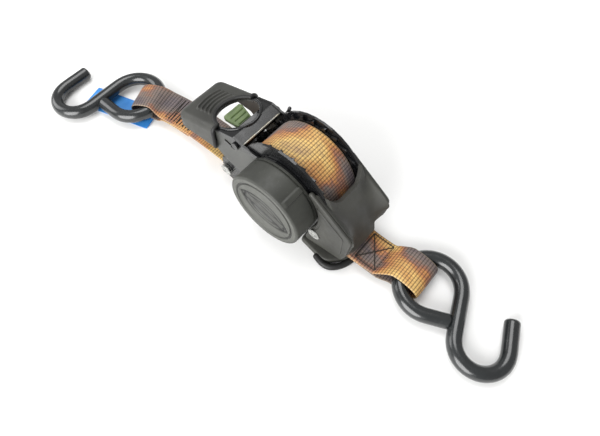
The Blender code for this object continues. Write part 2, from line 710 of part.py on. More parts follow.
def build_handle(body, finishes):
    """A pressing with two arms and a web between them, the moulded grip on its end and a cross pin."""
    cross_pin = from_axle(HANDLE_PIN)
    holes = [
        circle(AXLE, BUSH_RADIUS + SEAT_GAP, ROUND_SIDES),
        circle(cross_pin, HANDLE_PIN_RADIUS + SEAT_GAP, SMALL_SIDES),
        pawl_slot(DRIVE_PAWL_ANGLE, *ear_span(DRIVE_PAWL_OUTER_RADIUS)),
    ]
    outline = handle_arm_outline()
    frame = side_plate("handle_frame", outline, -ARM_OUT, -ARM_IN, holes)
    far = side_plate("handle_far_arm", outline, ARM_IN, ARM_OUT, holes)
    edge, *bends, end = handle_top_line()
    line = [(edge[0] - UNION_SINK, edge[1]), *bends, (end[0] + UNION_SINK, end[1])]
    top = [(x, z - WEB_DROP) for x, z in line]
    under = [(x, z - WEB_THICKNESS) for x, z in reversed(top)]
    web_half = ARM_IN + UNION_SINK
    web = side_plate("handle_web", top + under, -web_half, web_half)
    widen = FINGER_HOLE_HALF_WIDTH / FINGER_HOLE_HALF_LENGTH
    hole = circle((FINGER_HOLE_X, 0), FINGER_HOLE_HALF_LENGTH, ROUND_SIDES)
    hole = [(x, y * widen) for x, y in hole]
    combine(web, floor_plate("web_finger_cut", hole, 0, 2 * AXLE_HEIGHT), "DIFFERENCE")
    combine(frame, web, "UNION")
    combine(frame, far, "UNION")
    add(frame, body, finishes["black_steel"])

    grip = grip_hood("handle_grip", 0.0, 0.0, 0.0)
    combine(grip, grip_hood("grip_cavity", GRIP_WALL, GRIP_TOP_WALL, GRIP_END_WALL), "DIFFERENCE")
    combine(grip, floor_plate("grip_finger_cut", hole, 0, 2 * AXLE_HEIGHT), "DIFFERENCE")
    add(grip, body, finishes["moulded_rubber"])

    head_in = ARM_OUT + SEAT_GAP
    head_out = head_in + HANDLE_PIN_HEAD_HEIGHT
    pin = [
        (HANDLE_PIN_HEAD_RADIUS, -head_out, -head_in),
        (HANDLE_PIN_RADIUS, -head_in, head_in),
        (HANDLE_PIN_HEAD_RADIUS, head_in, head_out),
    ]
    add(rod("handle_pin", pin, cross_pin), body, finishes["bright_steel"])


def grip_hood(name, side_wall, top_wall, end_wall):
    """Cross-sections along X from the grip's end to its rear edge. The walls draw it in for the cavity."""
    overrun = side_wall
    share = np.array(GRIP_SECTIONS)
    x = GRIP_END_X + end_wall + (GRIP_REAR_X + overrun - GRIP_END_X - end_wall) * share
    nose = GRIP_NOSE * (1 - np.minimum(share / GRIP_NOSE_SHARE, 1)) ** 2
    along = (x - GRIP_END_X) / (GRIP_REAR_X - GRIP_END_X)
    top = AXLE_HEIGHT + GRIP_END_RISE + (GRIP_REAR_RISE - GRIP_END_RISE) * along - top_wall
    half = np.full_like(x, GRIP_OUT - side_wall)
    if not end_wall:
        top -= nose / 2
        half -= nose
    bottom = AXLE_HEIGHT - GRIP_SKIRT_DROP - GRIP_END_DROP * (1 - along) ** 2 - overrun
    edge = GRIP_EDGE_RADIUS - side_wall - top_wall / 2
    bm = bmesh.new()
    rows = []
    for i in range(len(share)):
        centre = (half[i] - edge, top[i] - edge)
        round_far = arc(centre, edge, 0, math.pi / 2, CORNER_STEPS)
        round_near = [(-y, z) for y, z in reversed(round_far)]
        section = [(half[i], bottom[i]), *round_far, *round_near, (-half[i], bottom[i])]
        rows.append([bm.verts.new((x[i], y, z)) for y, z in section])
    for before, row in zip(rows, rows[1:]):
        for j in range(len(row)):
            k = (j + 1) % len(row)
            bm.faces.new((before[j], before[k], row[k], row[j]))
    bm.faces.new(rows[0])
    bm.faces.new(rows[-1])
    return mesh_object(name, bm)


def radial_plate(name, outline, angle, low, high):
    """A flat plate that lies along a radius of the drum, from an outline of (radius, y) points."""
    along = Vector((math.cos(angle), 0, math.sin(angle)))
    up = Vector((0, 1, 0)).cross(along)
    if up.z < 0:
        up = -up
    axle = Vector((0, 0, AXLE_HEIGHT))
    bm = bmesh.new()
    points = [axle + along * r + Vector((0, y, 0)) + up * low for r, y in outline]
    bottom = bm.faces.new([bm.verts.new(point) for point in points])
    raised = bmesh.ops.extrude_face_region(bm, geom=[bottom])["geom"]
    moved = [item for item in raised if isinstance(item, bmesh.types.BMVert)]
    bmesh.ops.translate(bm, verts=moved, vec=up * (high - low))
    return mesh_object(name, bm)


def pawl_solid(name, angle, body_radius, outer_radius, body_half, ear_half):
    """A pawl plate across the part: a body, two fingers for the wheels and two guide ears."""
    ear_in, ear_out = ear_span(outer_radius)
    finger_out = WHEEL_OUT - SIDE_GAP / 2
    half = [
        (outer_radius, body_half),
        (ear_out, body_half),
        (ear_out, ear_half),
        (ear_in, ear_half),
        (ear_in, body_half),
        (body_radius, body_half),
        (body_radius, finger_out),
        (PAWL_REST_RADIUS, finger_out),
        (PAWL_REST_RADIUS, WHEEL_IN),
        (body_radius, WHEEL_IN),
    ]
    outline = half + [(radius, -y) for radius, y in reversed(half)]
    return radial_plate(name, outline, angle, -PAWL_THICKNESS / 2, PAWL_THICKNESS / 2)


def build_drive_pawl(body, finishes):
    solid = pawl_solid("drive_pawl", DRIVE_PAWL_ANGLE, DRIVE_BODY_RADIUS, DRIVE_PAWL_OUTER_RADIUS,
                       ARM_IN - SEAT_GAP, ARM_OUT + EAR_REACH)
    add(solid, body, finishes["black_steel"])

    start = DRIVE_PAWL_OUTER_RADIUS + SEAT_GAP
    step = (TAB_END_RADIUS - start) / (2 * TAB_RIDGE_COUNT + 1)
    top = TAB_THICKNESS / 2
    side = [(start, -top), (start, top)]
    for ridge in range(TAB_RIDGE_COUNT):
        left = start + step * (2 * ridge + 1)
        side += [(left, top), (left, top + TAB_RIDGE_HEIGHT)]
        side += [(left + step, top + TAB_RIDGE_HEIGHT), (left + step, top)]
    side += [(TAB_END_RADIUS, top), (TAB_END_RADIUS, -top)]
    along = Vector((math.cos(DRIVE_PAWL_ANGLE), math.sin(DRIVE_PAWL_ANGLE)))
    up = Vector((along.y, -along.x))
    outline = [tuple(Vector(AXLE) + along * radius + up * height) for radius, height in side]
    add(side_plate("pull_tab", outline, -TAB_WIDTH / 2, TAB_WIDTH / 2), body, finishes["tab_plastic"])


def build_holding_pawl(body, finishes):
    half = PLATE_IN - SEAT_GAP
    solid = pawl_solid("holding_pawl", HOLDING_PAWL_ANGLE, HOLDING_BODY_RADIUS, HOLDING_PAWL_OUTER_RADIUS,
                       half, PLATE_OUT - SEAT_GAP / 2)
    add(solid, body, finishes["black_steel"])


def build_release_lever(body, finishes):
    """Two flat wings joined by a bent web behind the drum."""
    front = arc(AXLE, CASE_RADIUS + WING_CLEARANCE, WING_FRONT_LOW, WING_FRONT_HIGH, ROUND_SIDES // 4)
    corners = [
        (*front[-1], 0),
        (*from_axle(WING_CREST), WING_CORNER),
        (*from_axle(WING_SHOULDER), WING_SHOULDER_RADIUS),
        (*WING_HEEL, WING_CORNER),
        (*WING_FOOT, WING_CORNER),
        (*WING_TOE, WING_CORNER),
        (*WING_INSTEP, WING_CORNER),
        (*front[0], 0),
    ]
    outline = front[1:-1] + rounded(corners)
    holes = [circle(LEVER_PIVOT, LEVER_PIVOT_RADIUS + SEAT_GAP, SMALL_SIDES)]
    lever = side_plate("release_lever", outline, -WING_OUT, -ARM_IN, holes)
    far = side_plate("lever_far_wing", outline, ARM_IN, WING_OUT, holes)
    top, bend = Vector(from_axle(LEVER_WEB_TOP)), Vector(from_axle(LEVER_WEB_BEND))
    low = Vector(LEVER_WEB_LOW)
    first = (bend - top).normalized()
    second = (low - bend).normalized()
    middle = (first + second).normalized()
    edges = [(top, first), (bend, middle), (low, second)]
    offsets = [(point, Vector((-way.y, way.x)) * LEVER_WEB_THICKNESS / 2) for point, way in edges]
    web = [tuple(p + n) for p, n in offsets] + [tuple(p - n) for p, n in reversed(offsets)]
    half = ARM_IN + UNION_SINK
    combine(lever, side_plate("lever_web", web, -half, half), "UNION")
    combine(lever, far, "UNION")
    add(lever, body, finishes["moulded_rubber"])


def hook_plan():
    """Centreline of an S-hook in plan: tip leg, main bend, shank, round eye and butt end."""
    bend = Vector(HOOK_BEND_CENTRE)
    eye = Vector(HOOK_EYE_CENTRE)
    gap = eye - bend
    lean = math.acos((HOOK_BEND_RADIUS + HOOK_EYE_RADIUS) / gap.length)
    leave = math.atan2(gap.y, gap.x) + lean
    bend_arc = arc(bend, HOOK_BEND_RADIUS, HOOK_TIP_ANGLE, leave - 2 * math.pi, BEND_STEPS)
    way = Vector((-math.sin(HOOK_TIP_ANGLE), math.cos(HOOK_TIP_ANGLE)))
    tip = Vector(bend_arc[0]) + way * HOOK_TIP_LENGTH
    eye_arc = arc(eye, HOOK_EYE_RADIUS, leave - math.pi, HOOK_EYE_END, EYE_STEPS)
    start, end, last = Vector(bend_arc[-1]), Vector(eye_arc[0]), Vector(eye_arc[-1])
    butt_v = last.y + HOOK_BUTT_RISE
    meet = start.lerp(end, (butt_v - start.y) / (end.y - start.y))
    shank = (end - start).normalized()
    room = (HOOK_WIRE_RADIUS + HOOK_BUTT_GAP + HOOK_WIRE_RADIUS * abs(shank.x)) / abs(shank.y)
    butt = meet - Vector((room, 0))
    return [tuple(tip), *bend_arc, *eye_arc, tuple(butt)]


def build_hook(name, body, finishes, place, along, across):
    """Lays the plan on the floor: the bar in the strap's loop stands higher than the outer bend."""
    plan = hook_plan()
    far = HOOK_BEND_CENTRE[0] + HOOK_BEND_RADIUS
    points = []
    for u, v in plan:
        z = BAR_Z + (HOOK_WIRE_RADIUS - BAR_Z) * (u - HOOK_BAR_U) / (far - HOOK_BAR_U)
        x = place[0] + along[0] * u + across[0] * v
        y = place[1] + along[1] * u + across[1] * v
        points.append((x, y, z))
    add(wire(name, np.array(points), HOOK_WIRE_RADIUS), body, finishes["hook_vinyl"])


def hook_bar(place, along, across):
    """The middle of the bar that lies in the strap's loop."""
    x = place[0] + along[0] * HOOK_BAR_U + across[0] * HOOK_BAR_V
    y = place[1] + along[1] * HOOK_BAR_U + across[1] * HOOK_BAR_V
    return (x, y)


def build_rear_strap(body, finishes):
    """A sewn ring of webbing round the anchor pin and the rear hook's bar."""
    bar_x, bar_y = hook_bar(REAR_HOOK_PLACE, (1, 0), (0, 1))
    pin_radius = ANCHOR_RADIUS + SEAT_GAP + WEBBING_THICKNESS / 2
    upper = SEWN_Z + LAYER_STEP / 2
    lower = SEWN_Z - LAYER_STEP / 2
    pin_arc = arc((ANCHOR_X, ANCHOR_Z), pin_radius, PIN_LOOP_START, PIN_LOOP_END, PIN_STEPS)
    bar_arc = arc((bar_x, BAR_Z), LOOP_RADIUS, LOOP_START, LOOP_END, LOOP_STEPS)
    top = [pin_arc[-1], (REAR_SEWN_FRONT_X, upper), (REAR_SEWN_REAR_X, upper), bar_arc[0]]
    under = [bar_arc[-1], (REAR_SEWN_REAR_X, lower), (REAR_SEWN_FRONT_X, lower), pin_arc[0]]
    over = smooth_route(top, ROUTE_STEPS)[1:-1]
    back = smooth_route(under, ROUTE_STEPS)[1:-1]
    side = np.array([*pin_arc, *over, *bar_arc, *back])
    path = np.stack([side[:, 0], np.zeros(len(side)), side[:, 1]], axis=1)
    across = np.tile((0.0, 1.0, 0.0), (len(path), 1))
    full = WEBBING_WIDTH / 2
    near = LOOP_WIDTH / 2 - bar_y
    far = min(LOOP_WIDTH / 2 + bar_y, full)
    share = np.clip((path[:, 0] - REAR_SEWN_REAR_X) / (REAR_NARROW_X - REAR_SEWN_REAR_X), 0, 1)
    left = full + (near - full) * share
    right = full + (far - full) * share
    made = flat_band("rear_strap", path, across, left, right, WEBBING_THICKNESS, closed=True)
    add(made, body, finishes["webbing"])


def front_plan(distance, bar, along):
    """Plan place and heading of the front tongue at a distance outside the frame's mouth."""
    start = Vector((NOSE_X, 0))
    end = Vector(bar)
    reach = (end - start).length
    if distance <= 0:
        return start + Vector((-distance, 0)), Vector((-1, 0))
    heading = Vector(along)
    if distance >= reach:
        return end + heading * (distance - reach), heading
    t = distance / reach
    pull = reach * FRONT_PULL_SHARE
    a, b, c, d = start, start - Vector((pull, 0)), end - heading * pull, end
    place = a * (1 - t) ** 3 + b * 3 * t * (1 - t) ** 2 + c * 3 * t**2 * (1 - t) + d * t**3
    slope = (b - a) * (1 - t) ** 2 + (c - b) * 2 * t * (1 - t) + (d - c) * t**2
    return place, slope.normalized()


def build_front_strap(body, finishes, along, across_bar):
    """The tongue of webbing that comes off the drum, arches to the floor and returns round the front bar."""
    bar = hook_bar(FRONT_HOOK_PLACE, along, across_bar)
    reach = (Vector(bar) - Vector((NOSE_X, 0))).length
    sewn = NOSE_X - FRONT_SEWN_X
    lap = NOSE_X - FRONT_LAP_X
    arch = NOSE_X - ARCH_X
    loop = arc((reach, BAR_Z), LOOP_RADIUS, LOOP_START, LOOP_END, LOOP_STEPS)
    out = [
        (0.0, STRAP_Z),
        (arch / 2, (STRAP_Z + ARCH_Z) / 2 + ARCH_SWELL),
        (arch, ARCH_Z),
        (sewn, ARCH_Z - ARCH_FALL),
        loop[0],
    ]
    back = [
        loop[-1],
        (sewn, ARCH_Z - ARCH_FALL - LAYER_STEP),
        (lap, ARCH_Z - LAP_FALL - LAYER_STEP),
    ]
    inside = [(NOSE_X + SEAT_GAP, STRAP_Z), (NOSE_X / 2, STRAP_Z)]
    side = [*inside, *smooth_route(out, ROUTE_STEPS)[:-1], *loop, *smooth_route(back, ROUTE_STEPS)[1:]]
    path = []
    across = []
    half = []
    full = WEBBING_WIDTH / 2
    for distance, z in side:
        place, heading = front_plan(distance, bar, along)
        path.append((place.x, place.y, z))
        across.append((heading.y, -heading.x, 0.0))
        share = (distance - reach + FRONT_NARROW_BACK + FRONT_NARROW_RUN) / FRONT_NARROW_RUN
        half.append(full + (LOOP_WIDTH / 2 - full) * min(max(share, 0), 1))
    made = flat_band("front_strap", path, across, half, half, WEBBING_THICKNESS)
    add(made, body, finishes["webbing"])


def build_tag(body, finishes):
    """A blank vinyl tag, sewn under the front loop, that lies on the floor under the hook's eye."""
    lying = TAG_THICKNESS / 2
    route = [TAG_STITCH, TAG_FALL, TAG_LANDING, (*TAG_REST, lying), (*TAG_END, lying)]
    path = smooth_route(route, ROUTE_STEPS)
    path[:, 2] = np.maximum(path[:, 2], lying)
    heading = np.gradient(path[:, :2], axis=0)
    heading /= np.linalg.norm(heading, axis=1)[:, None]
    across = np.stack([heading[:, 1], -heading[:, 0], np.zeros(len(path))], axis=1)
    half = np.full(len(path), TAG_WIDTH / 2)
    made = flat_band("blank_tag", path, across, half, half, TAG_THICKNESS)
    add(made, body, finishes["tag_vinyl"])


def main():
    clear_scene()
    finishes = make_finishes()
    turn = FRONT_HOOK_TURN
    front_along = (-math.cos(turn), -math.sin(turn))
    front_across = (-math.sin(turn), math.cos(turn))
    rear_bar = hook_bar(REAR_HOOK_PLACE, (1, 0), (0, 1))
    front_bar = hook_bar(FRONT_HOOK_PLACE, front_along, front_across)
    axle = (0, 0, AXLE_HEIGHT)

    frame = joint_empty("frame", (0, 0, 0))
    drum = joint_empty("drum", axle)
    handle = joint_empty("handle", axle)
    drive_pawl = joint_empty("drive_pawl_slide", axle)
    lever = joint_empty("lever", (LEVER_PIVOT[0], 0, LEVER_PIVOT[1]))
    holding_pawl = joint_empty("holding_pawl_slide", axle)
    front_strap = joint_empty("front_tongue", (0, 0, STRAP_Z))
    front_hook = joint_empty("front_hook_swing", (*front_bar, BAR_Z))
    rear_hook = joint_empty("rear_hook_swing", (*rear_bar, BAR_Z))

    build_frame(frame, finishes)
    build_spring_housing(frame, finishes)
    build_drum(drum, finishes)
    build_handle(handle, finishes)
    build_drive_pawl(drive_pawl, finishes)
    build_release_lever(lever, finishes)
    build_holding_pawl(holding_pawl, finishes)
    build_rear_strap(frame, finishes)
    build_front_strap(front_strap, finishes, front_along, front_across)
    build_tag(front_strap, finishes)
    build_hook("front_hook", front_hook, finishes, FRONT_HOOK_PLACE, front_along, front_across)
    build_hook("rear_hook", rear_hook, finishes, REAR_HOOK_PLACE, (1, 0), (0, 1))


main()
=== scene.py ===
import math

import bmesh
import bpy
import numpy as np
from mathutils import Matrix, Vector


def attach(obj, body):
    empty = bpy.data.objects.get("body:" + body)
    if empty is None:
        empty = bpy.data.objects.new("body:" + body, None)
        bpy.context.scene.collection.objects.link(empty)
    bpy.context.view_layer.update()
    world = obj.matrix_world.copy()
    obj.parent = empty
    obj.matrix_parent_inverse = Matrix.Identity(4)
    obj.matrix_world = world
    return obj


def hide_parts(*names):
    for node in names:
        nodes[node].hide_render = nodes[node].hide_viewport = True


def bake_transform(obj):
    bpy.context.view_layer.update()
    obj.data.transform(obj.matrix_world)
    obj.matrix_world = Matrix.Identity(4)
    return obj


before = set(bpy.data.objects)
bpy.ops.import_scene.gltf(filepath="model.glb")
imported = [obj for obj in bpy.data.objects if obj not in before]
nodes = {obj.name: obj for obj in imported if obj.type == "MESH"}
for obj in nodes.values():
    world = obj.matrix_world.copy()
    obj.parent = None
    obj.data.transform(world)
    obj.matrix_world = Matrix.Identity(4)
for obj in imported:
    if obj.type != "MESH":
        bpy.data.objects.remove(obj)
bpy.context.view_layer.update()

scene = bpy.context.scene
scene.view_settings.view_transform = "Standard"
print("stage: frame loaded,", len(nodes), "nodes")

axle = np.array([0.0, 0.0, 0.039])
axleXZ = axle[[0, 2]]
acrossY = (0.0, 1.0, 0.0)
upZ = (0.0, 0.0, 1.0)
mergeGap = 1e-6  # points closer than this become one


class Settings(dict):
    # a dictionary whose values can also be read as attributes
    __getattr__ = dict.__getitem__


def gridFaces(rows, cols, wrapU=False, wrapV=True):
    # quads between the neighbours in a grid of points; wrapping joins the last to the first
    index = np.arange(rows * cols).reshape(rows, cols)
    i, j = np.meshgrid(np.arange(rows - (not wrapU)), np.arange(cols - (not wrapV)), indexing="ij")
    below, right = (i + 1) % rows, (j + 1) % cols
    corners = [index[i, j], index[below, j], index[below, right], index[i, right]]
    return np.stack(corners, axis=-1).reshape(-1, 4)


def meshFromGrid(name, grid, uv=None, wrapU=False, wrapV=True, capU=True, capV=False):
    # a surface through a grid of points; capU and capV close the first and last row or column
    rows, cols = grid.shape[:2]
    index = np.arange(rows * cols).reshape(rows, cols)
    faces = gridFaces(rows, cols, wrapU, wrapV).tolist()
    if capU:
        faces += [index[0, ::-1].tolist(), index[-1].tolist()]
    if capV:
        faces += [index[:, 0].tolist(), index[::-1, -1].tolist()]
    mesh = bpy.data.meshes.new(name)
    mesh.from_pydata(grid.reshape(-1, 3).tolist(), [], faces)
    if uv is not None:
        layer = mesh.uv_layers.new(name="UVMap")
        corners = np.empty(len(mesh.loops), np.int32)
        mesh.loops.foreach_get("vertex_index", corners)
        layer.data.foreach_set("uv", uv.reshape(-1, 2)[corners].ravel().astype(np.float32))
    return mesh


def addPiece(mesh, body, slot, material, standsFor=(), smooth=40):
    # one piece at the origin, faces turned outwards, riding on a body, or baked where it stands when the body
    # is not a single name
    bm = bmesh.new()
    bm.from_mesh(mesh)
    bmesh.ops.remove_doubles(bm, verts=bm.verts, dist=mergeGap)
    bmesh.ops.recalc_face_normals(bm, faces=bm.faces)
    bm.to_mesh(mesh)
    bm.free()
    mesh.materials.append(material)
    mesh.shade_smooth()
    mesh.set_sharp_from_angle(angle=math.radians(smooth))
    piece = bpy.data.objects.new(mesh.name, mesh)
    scene.collection.objects.link(piece)
    if isinstance(body, str):
        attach(piece, body)
    else:
        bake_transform(piece)
    if standsFor:
        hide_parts(*standsFor)
    return piece


def joinMeshes(name, *meshes):
    # one mesh that holds all of these
    bm = bmesh.new()
    for mesh in meshes:
        bm.from_mesh(mesh)
    joined = bpy.data.meshes.new(name)
    bm.to_mesh(joined)
    bm.free()
    return joined


def unit(vectors):
    # each vector divided by its length
    return vectors / np.linalg.norm(vectors, axis=-1, keepdims=True)


def easeStep(value, low, high):
    # 0 below low, 1 above high, and a smooth S between
    t = np.clip((value - low) / (high - low), 0, 1)
    return t * t * (3 - 2 * t)


def fullTurn(count):
    # equal angles once round
    return np.linspace(0, 2 * np.pi, count, endpoint=False)


def arcPoints(centre, radius, start, end, count):
    # points at equal angles along an arc of a circle
    angle = np.linspace(start, end, count)
    return np.stack([centre[0] + radius * np.cos(angle), centre[1] + radius * np.sin(angle)], axis=1)


def pathLength(points):
    # the length along a polyline at each of its points
    return np.concatenate([[0], np.cumsum(np.linalg.norm(np.diff(points, axis=0), axis=1))])


def readAt(at, length, values):
    # each column of values, read in straight lines between its points at the given lengths
    return np.stack([np.interp(at, length, column) for column in values.T], axis=1)


def resample(points, count):
    # points at equal steps of length along a polyline, with the length at each
    points = np.asarray(points, float)
    length = pathLength(points)
    at = np.linspace(0, length[-1], count)
    return readAt(at, length, points), at


def evenOutline(outline, count):
    # a closed outline at equal steps of length
    return resample(np.vstack([outline, outline[:1]]), count + 1)[0][:-1]


def curveThrough(points, count, stepsPerSpan=24):
    # Catmull-Rom curve through the points, at equal steps of length
    p = np.asarray(points, float)
    p = np.vstack([2 * p[0] - p[1], p, 2 * p[-1] - p[-2]])
    t = np.linspace(0, 1, stepsPerSpan, endpoint=False)[:, None]
    a, b, c, d = (p[k:len(p) - 3 + k, None] for k in range(4))
    fine = b + t * (c - a) / 2 + t**2 * (2 * a - 5 * b + 4 * c - d) / 2 + t**3 * (3 * b - a - 3 * c + d) / 2
    fine = np.vstack([fine.reshape(-1, p.shape[1]), p[-2:-1]])
    return resample(fine, count)


def softened(points, reach):
    # each point becomes the mean of its neighbours up to reach steps away; past its ends the path is
    # carried on by turning it about them
    before, after = 2 * points[:1] - points[reach:0:-1], 2 * points[-1:] - points[-2:-reach - 2:-1]
    padded = np.vstack([before, points, after])
    kernel = np.full(2 * reach + 1, 1 / (2 * reach + 1))
    return np.stack([np.convolve(column, kernel, "valid") for column in padded.T], axis=1)


def circlesAlong(path, sides, facing):
    # unit circles square to a path at each of its points, one axis of each also square to the facing direction
    tangent = unit(np.gradient(path, axis=-2))
    side = unit(np.cross(tangent, np.broadcast_to(facing, path.shape)))
    angle = fullTurn(sides)[:, None]
    return np.cos(angle) * side[..., None, :] + np.sin(angle) * np.cross(side, tangent)[..., None, :]


def addTube(name, path, tube, facing, *piece, tipShare=0.35, **more):
    # circles along a path; tube is (radius, sides, length of each rounded end), and over that length the
    # radius grows from the tip's share as a quarter ellipse
    (path, at), (radius, sides, roundEnd) = path, tube
    near = np.clip(np.minimum(at, at[-1] - at) / roundEnd, 0, 1)
    size = radius * (tipShare + (1 - tipShare) * np.sqrt(1 - (1 - near) ** 2))
    mesh = meshFromGrid(name, path[:, None] + circlesAlong(path, sides, facing) * size[:, None, None])
    addPiece(mesh, *piece, **more)


def threadMesh(name, paths, radius, sides=6):
    # short round threads in one mesh: each path of a (threads, points, 3) array becomes a closed tube
    count, steps = paths.shape[:2]
    first = (np.arange(count) * steps * sides)[:, None, None]
    quads = (first + gridFaces(steps, sides)).reshape(-1, 4)
    rim = np.stack([np.arange(sides)[::-1], np.arange(sides) + (steps - 1) * sides])
    caps = (first + rim).reshape(-1, sides)
    points = (paths[:, :, None] + radius * circlesAlong(paths, sides, upZ)).reshape(-1, 3)
    mesh = bpy.data.meshes.new(name)
    mesh.from_pydata(points.tolist(), [], quads.tolist() + caps.tolist())
    return mesh


def filletOutline(corners, steps=8):
    # closed outline through (x, z, radius) corners, each turned into an arc that touches both its sides
    out = []
    for k, (x, z, radius) in enumerate(corners):
        here = Vector((x, z))
        if radius == 0:
            out.append((x, z))
            continue
        back = (Vector(corners[k - 1][:2]) - here).normalized()
        ahead = (Vector(corners[(k + 1) % len(corners)][:2]) - here).normalized()
        half = math.acos(max(-1, min(1, back.dot(ahead)))) / 2
        centre = here + (back + ahead).normalized() * radius / math.sin(half)
        first = here + back * radius / math.tan(half) - centre
        last = here + ahead * radius / math.tan(half) - centre
        start = math.atan2(first.y, first.x)
        turn = (math.atan2(last.y, last.x) - start + math.pi) % (2 * math.pi) - math.pi
        angle = start + turn * np.linspace(0, 1, steps + 1)
        out += list(zip(centre.x + radius * np.cos(angle), centre.y + radius * np.sin(angle)))
    return np.array(out)


def roundedPlate(name, outline, low, high, edge, steps=5, lying=False):
    # an outline in XZ given thickness along Y, or in XY along Z if lying; the rim is rounded by drawing it
    # in along a quarter circle on each side
    ahead = unit(np.roll(outline, -1, axis=0) - np.roll(outline, 1, axis=0))
    x, z = outline.T
    area = np.sum(x * np.roll(z, -1) - np.roll(x, -1) * z)
    inward = np.stack([-ahead[:, 1], ahead[:, 0]], axis=1) * np.sign(area)
    bend = np.linspace(0, np.pi / 2, steps)
    inset = np.concatenate([edge * (1 - np.sin(bend)), edge * (1 - np.cos(bend))])
    y = np.concatenate([low + edge * (1 - np.cos(bend)), high - edge * (1 - np.sin(bend))])
    flat = outline[None] + inward[None] * inset[:, None, None]
    grid = np.stack([flat[..., 0], np.broadcast_to(y[:, None], flat.shape[:2]), flat[..., 1]], axis=-1)
    return meshFromGrid(name, grid[::-1][..., [0, 2, 1]] if lying else grid)


def shade(hexColour):
    # linear colour from a picture colour, by the sRGB curve
    value = np.array([int(hexColour[k:k + 2], 16) / 255 for k in (1, 3, 5)])
    linear = np.where(value <= 0.04045, value / 12.92, ((value + 0.055) / 1.055) ** 2.4)
    return tuple(float(v) for v in linear)


noiseEnds = (0.3, 0.7)  # a noise counts as low up to the first, and as high from the second


class Nodes:
    # a material's node tree, written in short
    def __init__(self, name):
        self.material = bpy.data.materials.new(name)
        self.material.use_nodes = True
        self.tree = self.material.node_tree
        self.shader = self.tree.nodes["Principled BSDF"]

    def feed(self, socket, value):
        # a socket is linked, a number or a colour is set, and None changes nothing
        if isinstance(value, bpy.types.NodeSocket):
            self.tree.links.new(value, socket)
        elif value is not None:
            socket.default_value = (*value, 1.0) if isinstance(value, tuple) else value

    def make(self, kind, **inputs):
        # a new node with its inputs fed by name
        node = self.tree.nodes.new("ShaderNode" + kind)
        for key, value in inputs.items():
            self.feed(node.inputs[key], value)
        return node

    def place(self, what="Object"):
        return self.make("TexCoord").outputs[what]

    def split(self, vector):
        return self.make("SeparateXYZ", Vector=vector).outputs

    def noise(self, scale, detail=3.0, rough=0.55, where=None, stretch=None):
        source = where if where is not None else self.place()
        if stretch:
            mapping = self.make("Mapping", Vector=source)
            mapping.inputs["Scale"].default_value = stretch
            source = mapping.outputs["Vector"]
        node = self.make("TexNoise", Scale=scale, Detail=detail, Roughness=rough, Vector=source)
        return node.outputs["Fac"]

    def ramp(self, fac, stops):
        node = self.make("ValToRGB", Fac=fac)
        band = node.color_ramp
        while len(band.elements) < len(stops):
            band.elements.new(0.5)
        for element, (at, colour) in zip(band.elements, stops):
            element.position = at
            element.color = (*colour, 1.0)
        return node.outputs["Color"]

    def between(self, fac, low, high, ends=noiseEnds):
        # one colour or value passes to another as the factor goes from end to end
        colours = (value if isinstance(value, tuple) else (value,) * 3 for value in (low, high))
        return self.ramp(fac, list(zip(ends, colours)))

    def math(self, operation, a, b=None):
        node = self.make("Math")
        node.operation = operation
        self.feed(node.inputs[0], a)
        self.feed(node.inputs[1], b)
        return node.outputs["Value"]

    def wave(self, along, count):
        # a sine that repeats count times for each unit
        return self.math("SINE", self.math("MULTIPLY", along, 2 * math.pi * count))

    def mix(self, fac, a, b, blend="MIX"):
        node = self.make("Mix")
        node.data_type = "RGBA"
        node.blend_type = blend
        for name, value in (("Factor", fac), ("A", a), ("B", b)):
            self.feed([s for s in node.inputs if s.name == name and s.enabled][0], value)
        return [s for s in node.outputs if s.enabled][0]

    def tint(self, colour, fac, share, towards):
        # the colour moves towards another by a share of the factor
        return self.mix(self.math("MULTIPLY", fac, share), colour, shade(towards))

    def bump(self, height, strength, distance, below=None):
        node = self.make("Bump", Height=height, Strength=strength, Distance=distance, Normal=below)
        return node.outputs["Normal"]

    def clouded(self, s, dark, light, below=None):
        # a colour clouded between dark and light, an uneven gloss, and a fine grain over the bump below
        cloud, gloss = self.noise(*s.cloud), self.noise(*s.gloss)
        colour = self.between(cloud, shade(dark), shade(light), s.get("cloudEnds", noiseEnds))
        rough = self.between(gloss, *s.rough, s.get("glossEnds", noiseEnds))
        return colour, rough, self.bump(self.noise(*s.grain), *s.grainBump, below)

    def finish(self, colour, rough, normal=None, surface=None):
        # the shader is fed, and the material is ready
        inputs = {"Base Color": colour, "Roughness": rough, "Normal": normal, **(surface or {})}
        for key, value in inputs.items():
            self.feed(self.shader.inputs[key], value)
        return self.material


# noises are (scale, detail, roughness) and bumps (strength, distance)
rubber = Settings(
    cloud=(55, 4), cloudBump=(0.05, 0.0006), speck=(900, 2), speckFrom=0.69, speckShare=0.2,
    speckColour="#62625c", faceShare=0.13, faceColour="#8a8b84", grooveShare=0.9, grooveColour="#0a0a09",
    gloss=(220, 3), rough=(0.44, 0.6), grain=(2600, 2), grainBump=(0.16, 0.00012),
    surface={"Specular IOR Level": 0.45})


def mouldedRubber(name, dark, light, paintedShading=False, s=rubber):
    # clouded dull colour with pale specks, over a fine moulded grain; where the UV carries the masks, UV x
    # darkens the grooves with painted shade and UV y lightens the face with painted light
    n = Nodes(name)
    below = n.bump(n.noise(*s.cloud), *s.cloudBump)
    colour, rough, normal = n.clouded(s, dark, light, below)
    speck = n.math("GREATER_THAN", n.noise(*s.speck), s.speckFrom)
    colour = n.tint(colour, speck, s.speckShare, s.speckColour)
    if paintedShading:
        grooveShade, face, _ = n.split(n.place("UV"))
        # painted light: the face that meets the key lamp is lightened
        colour = n.tint(colour, face, s.faceShare, s.faceColour)
        # painted shade: the grooves are darkened towards near black
        colour = n.tint(colour, grooveShade, s.grooveShare, s.grooveColour)
    return n.finish(colour, rough, normal, s.surface)


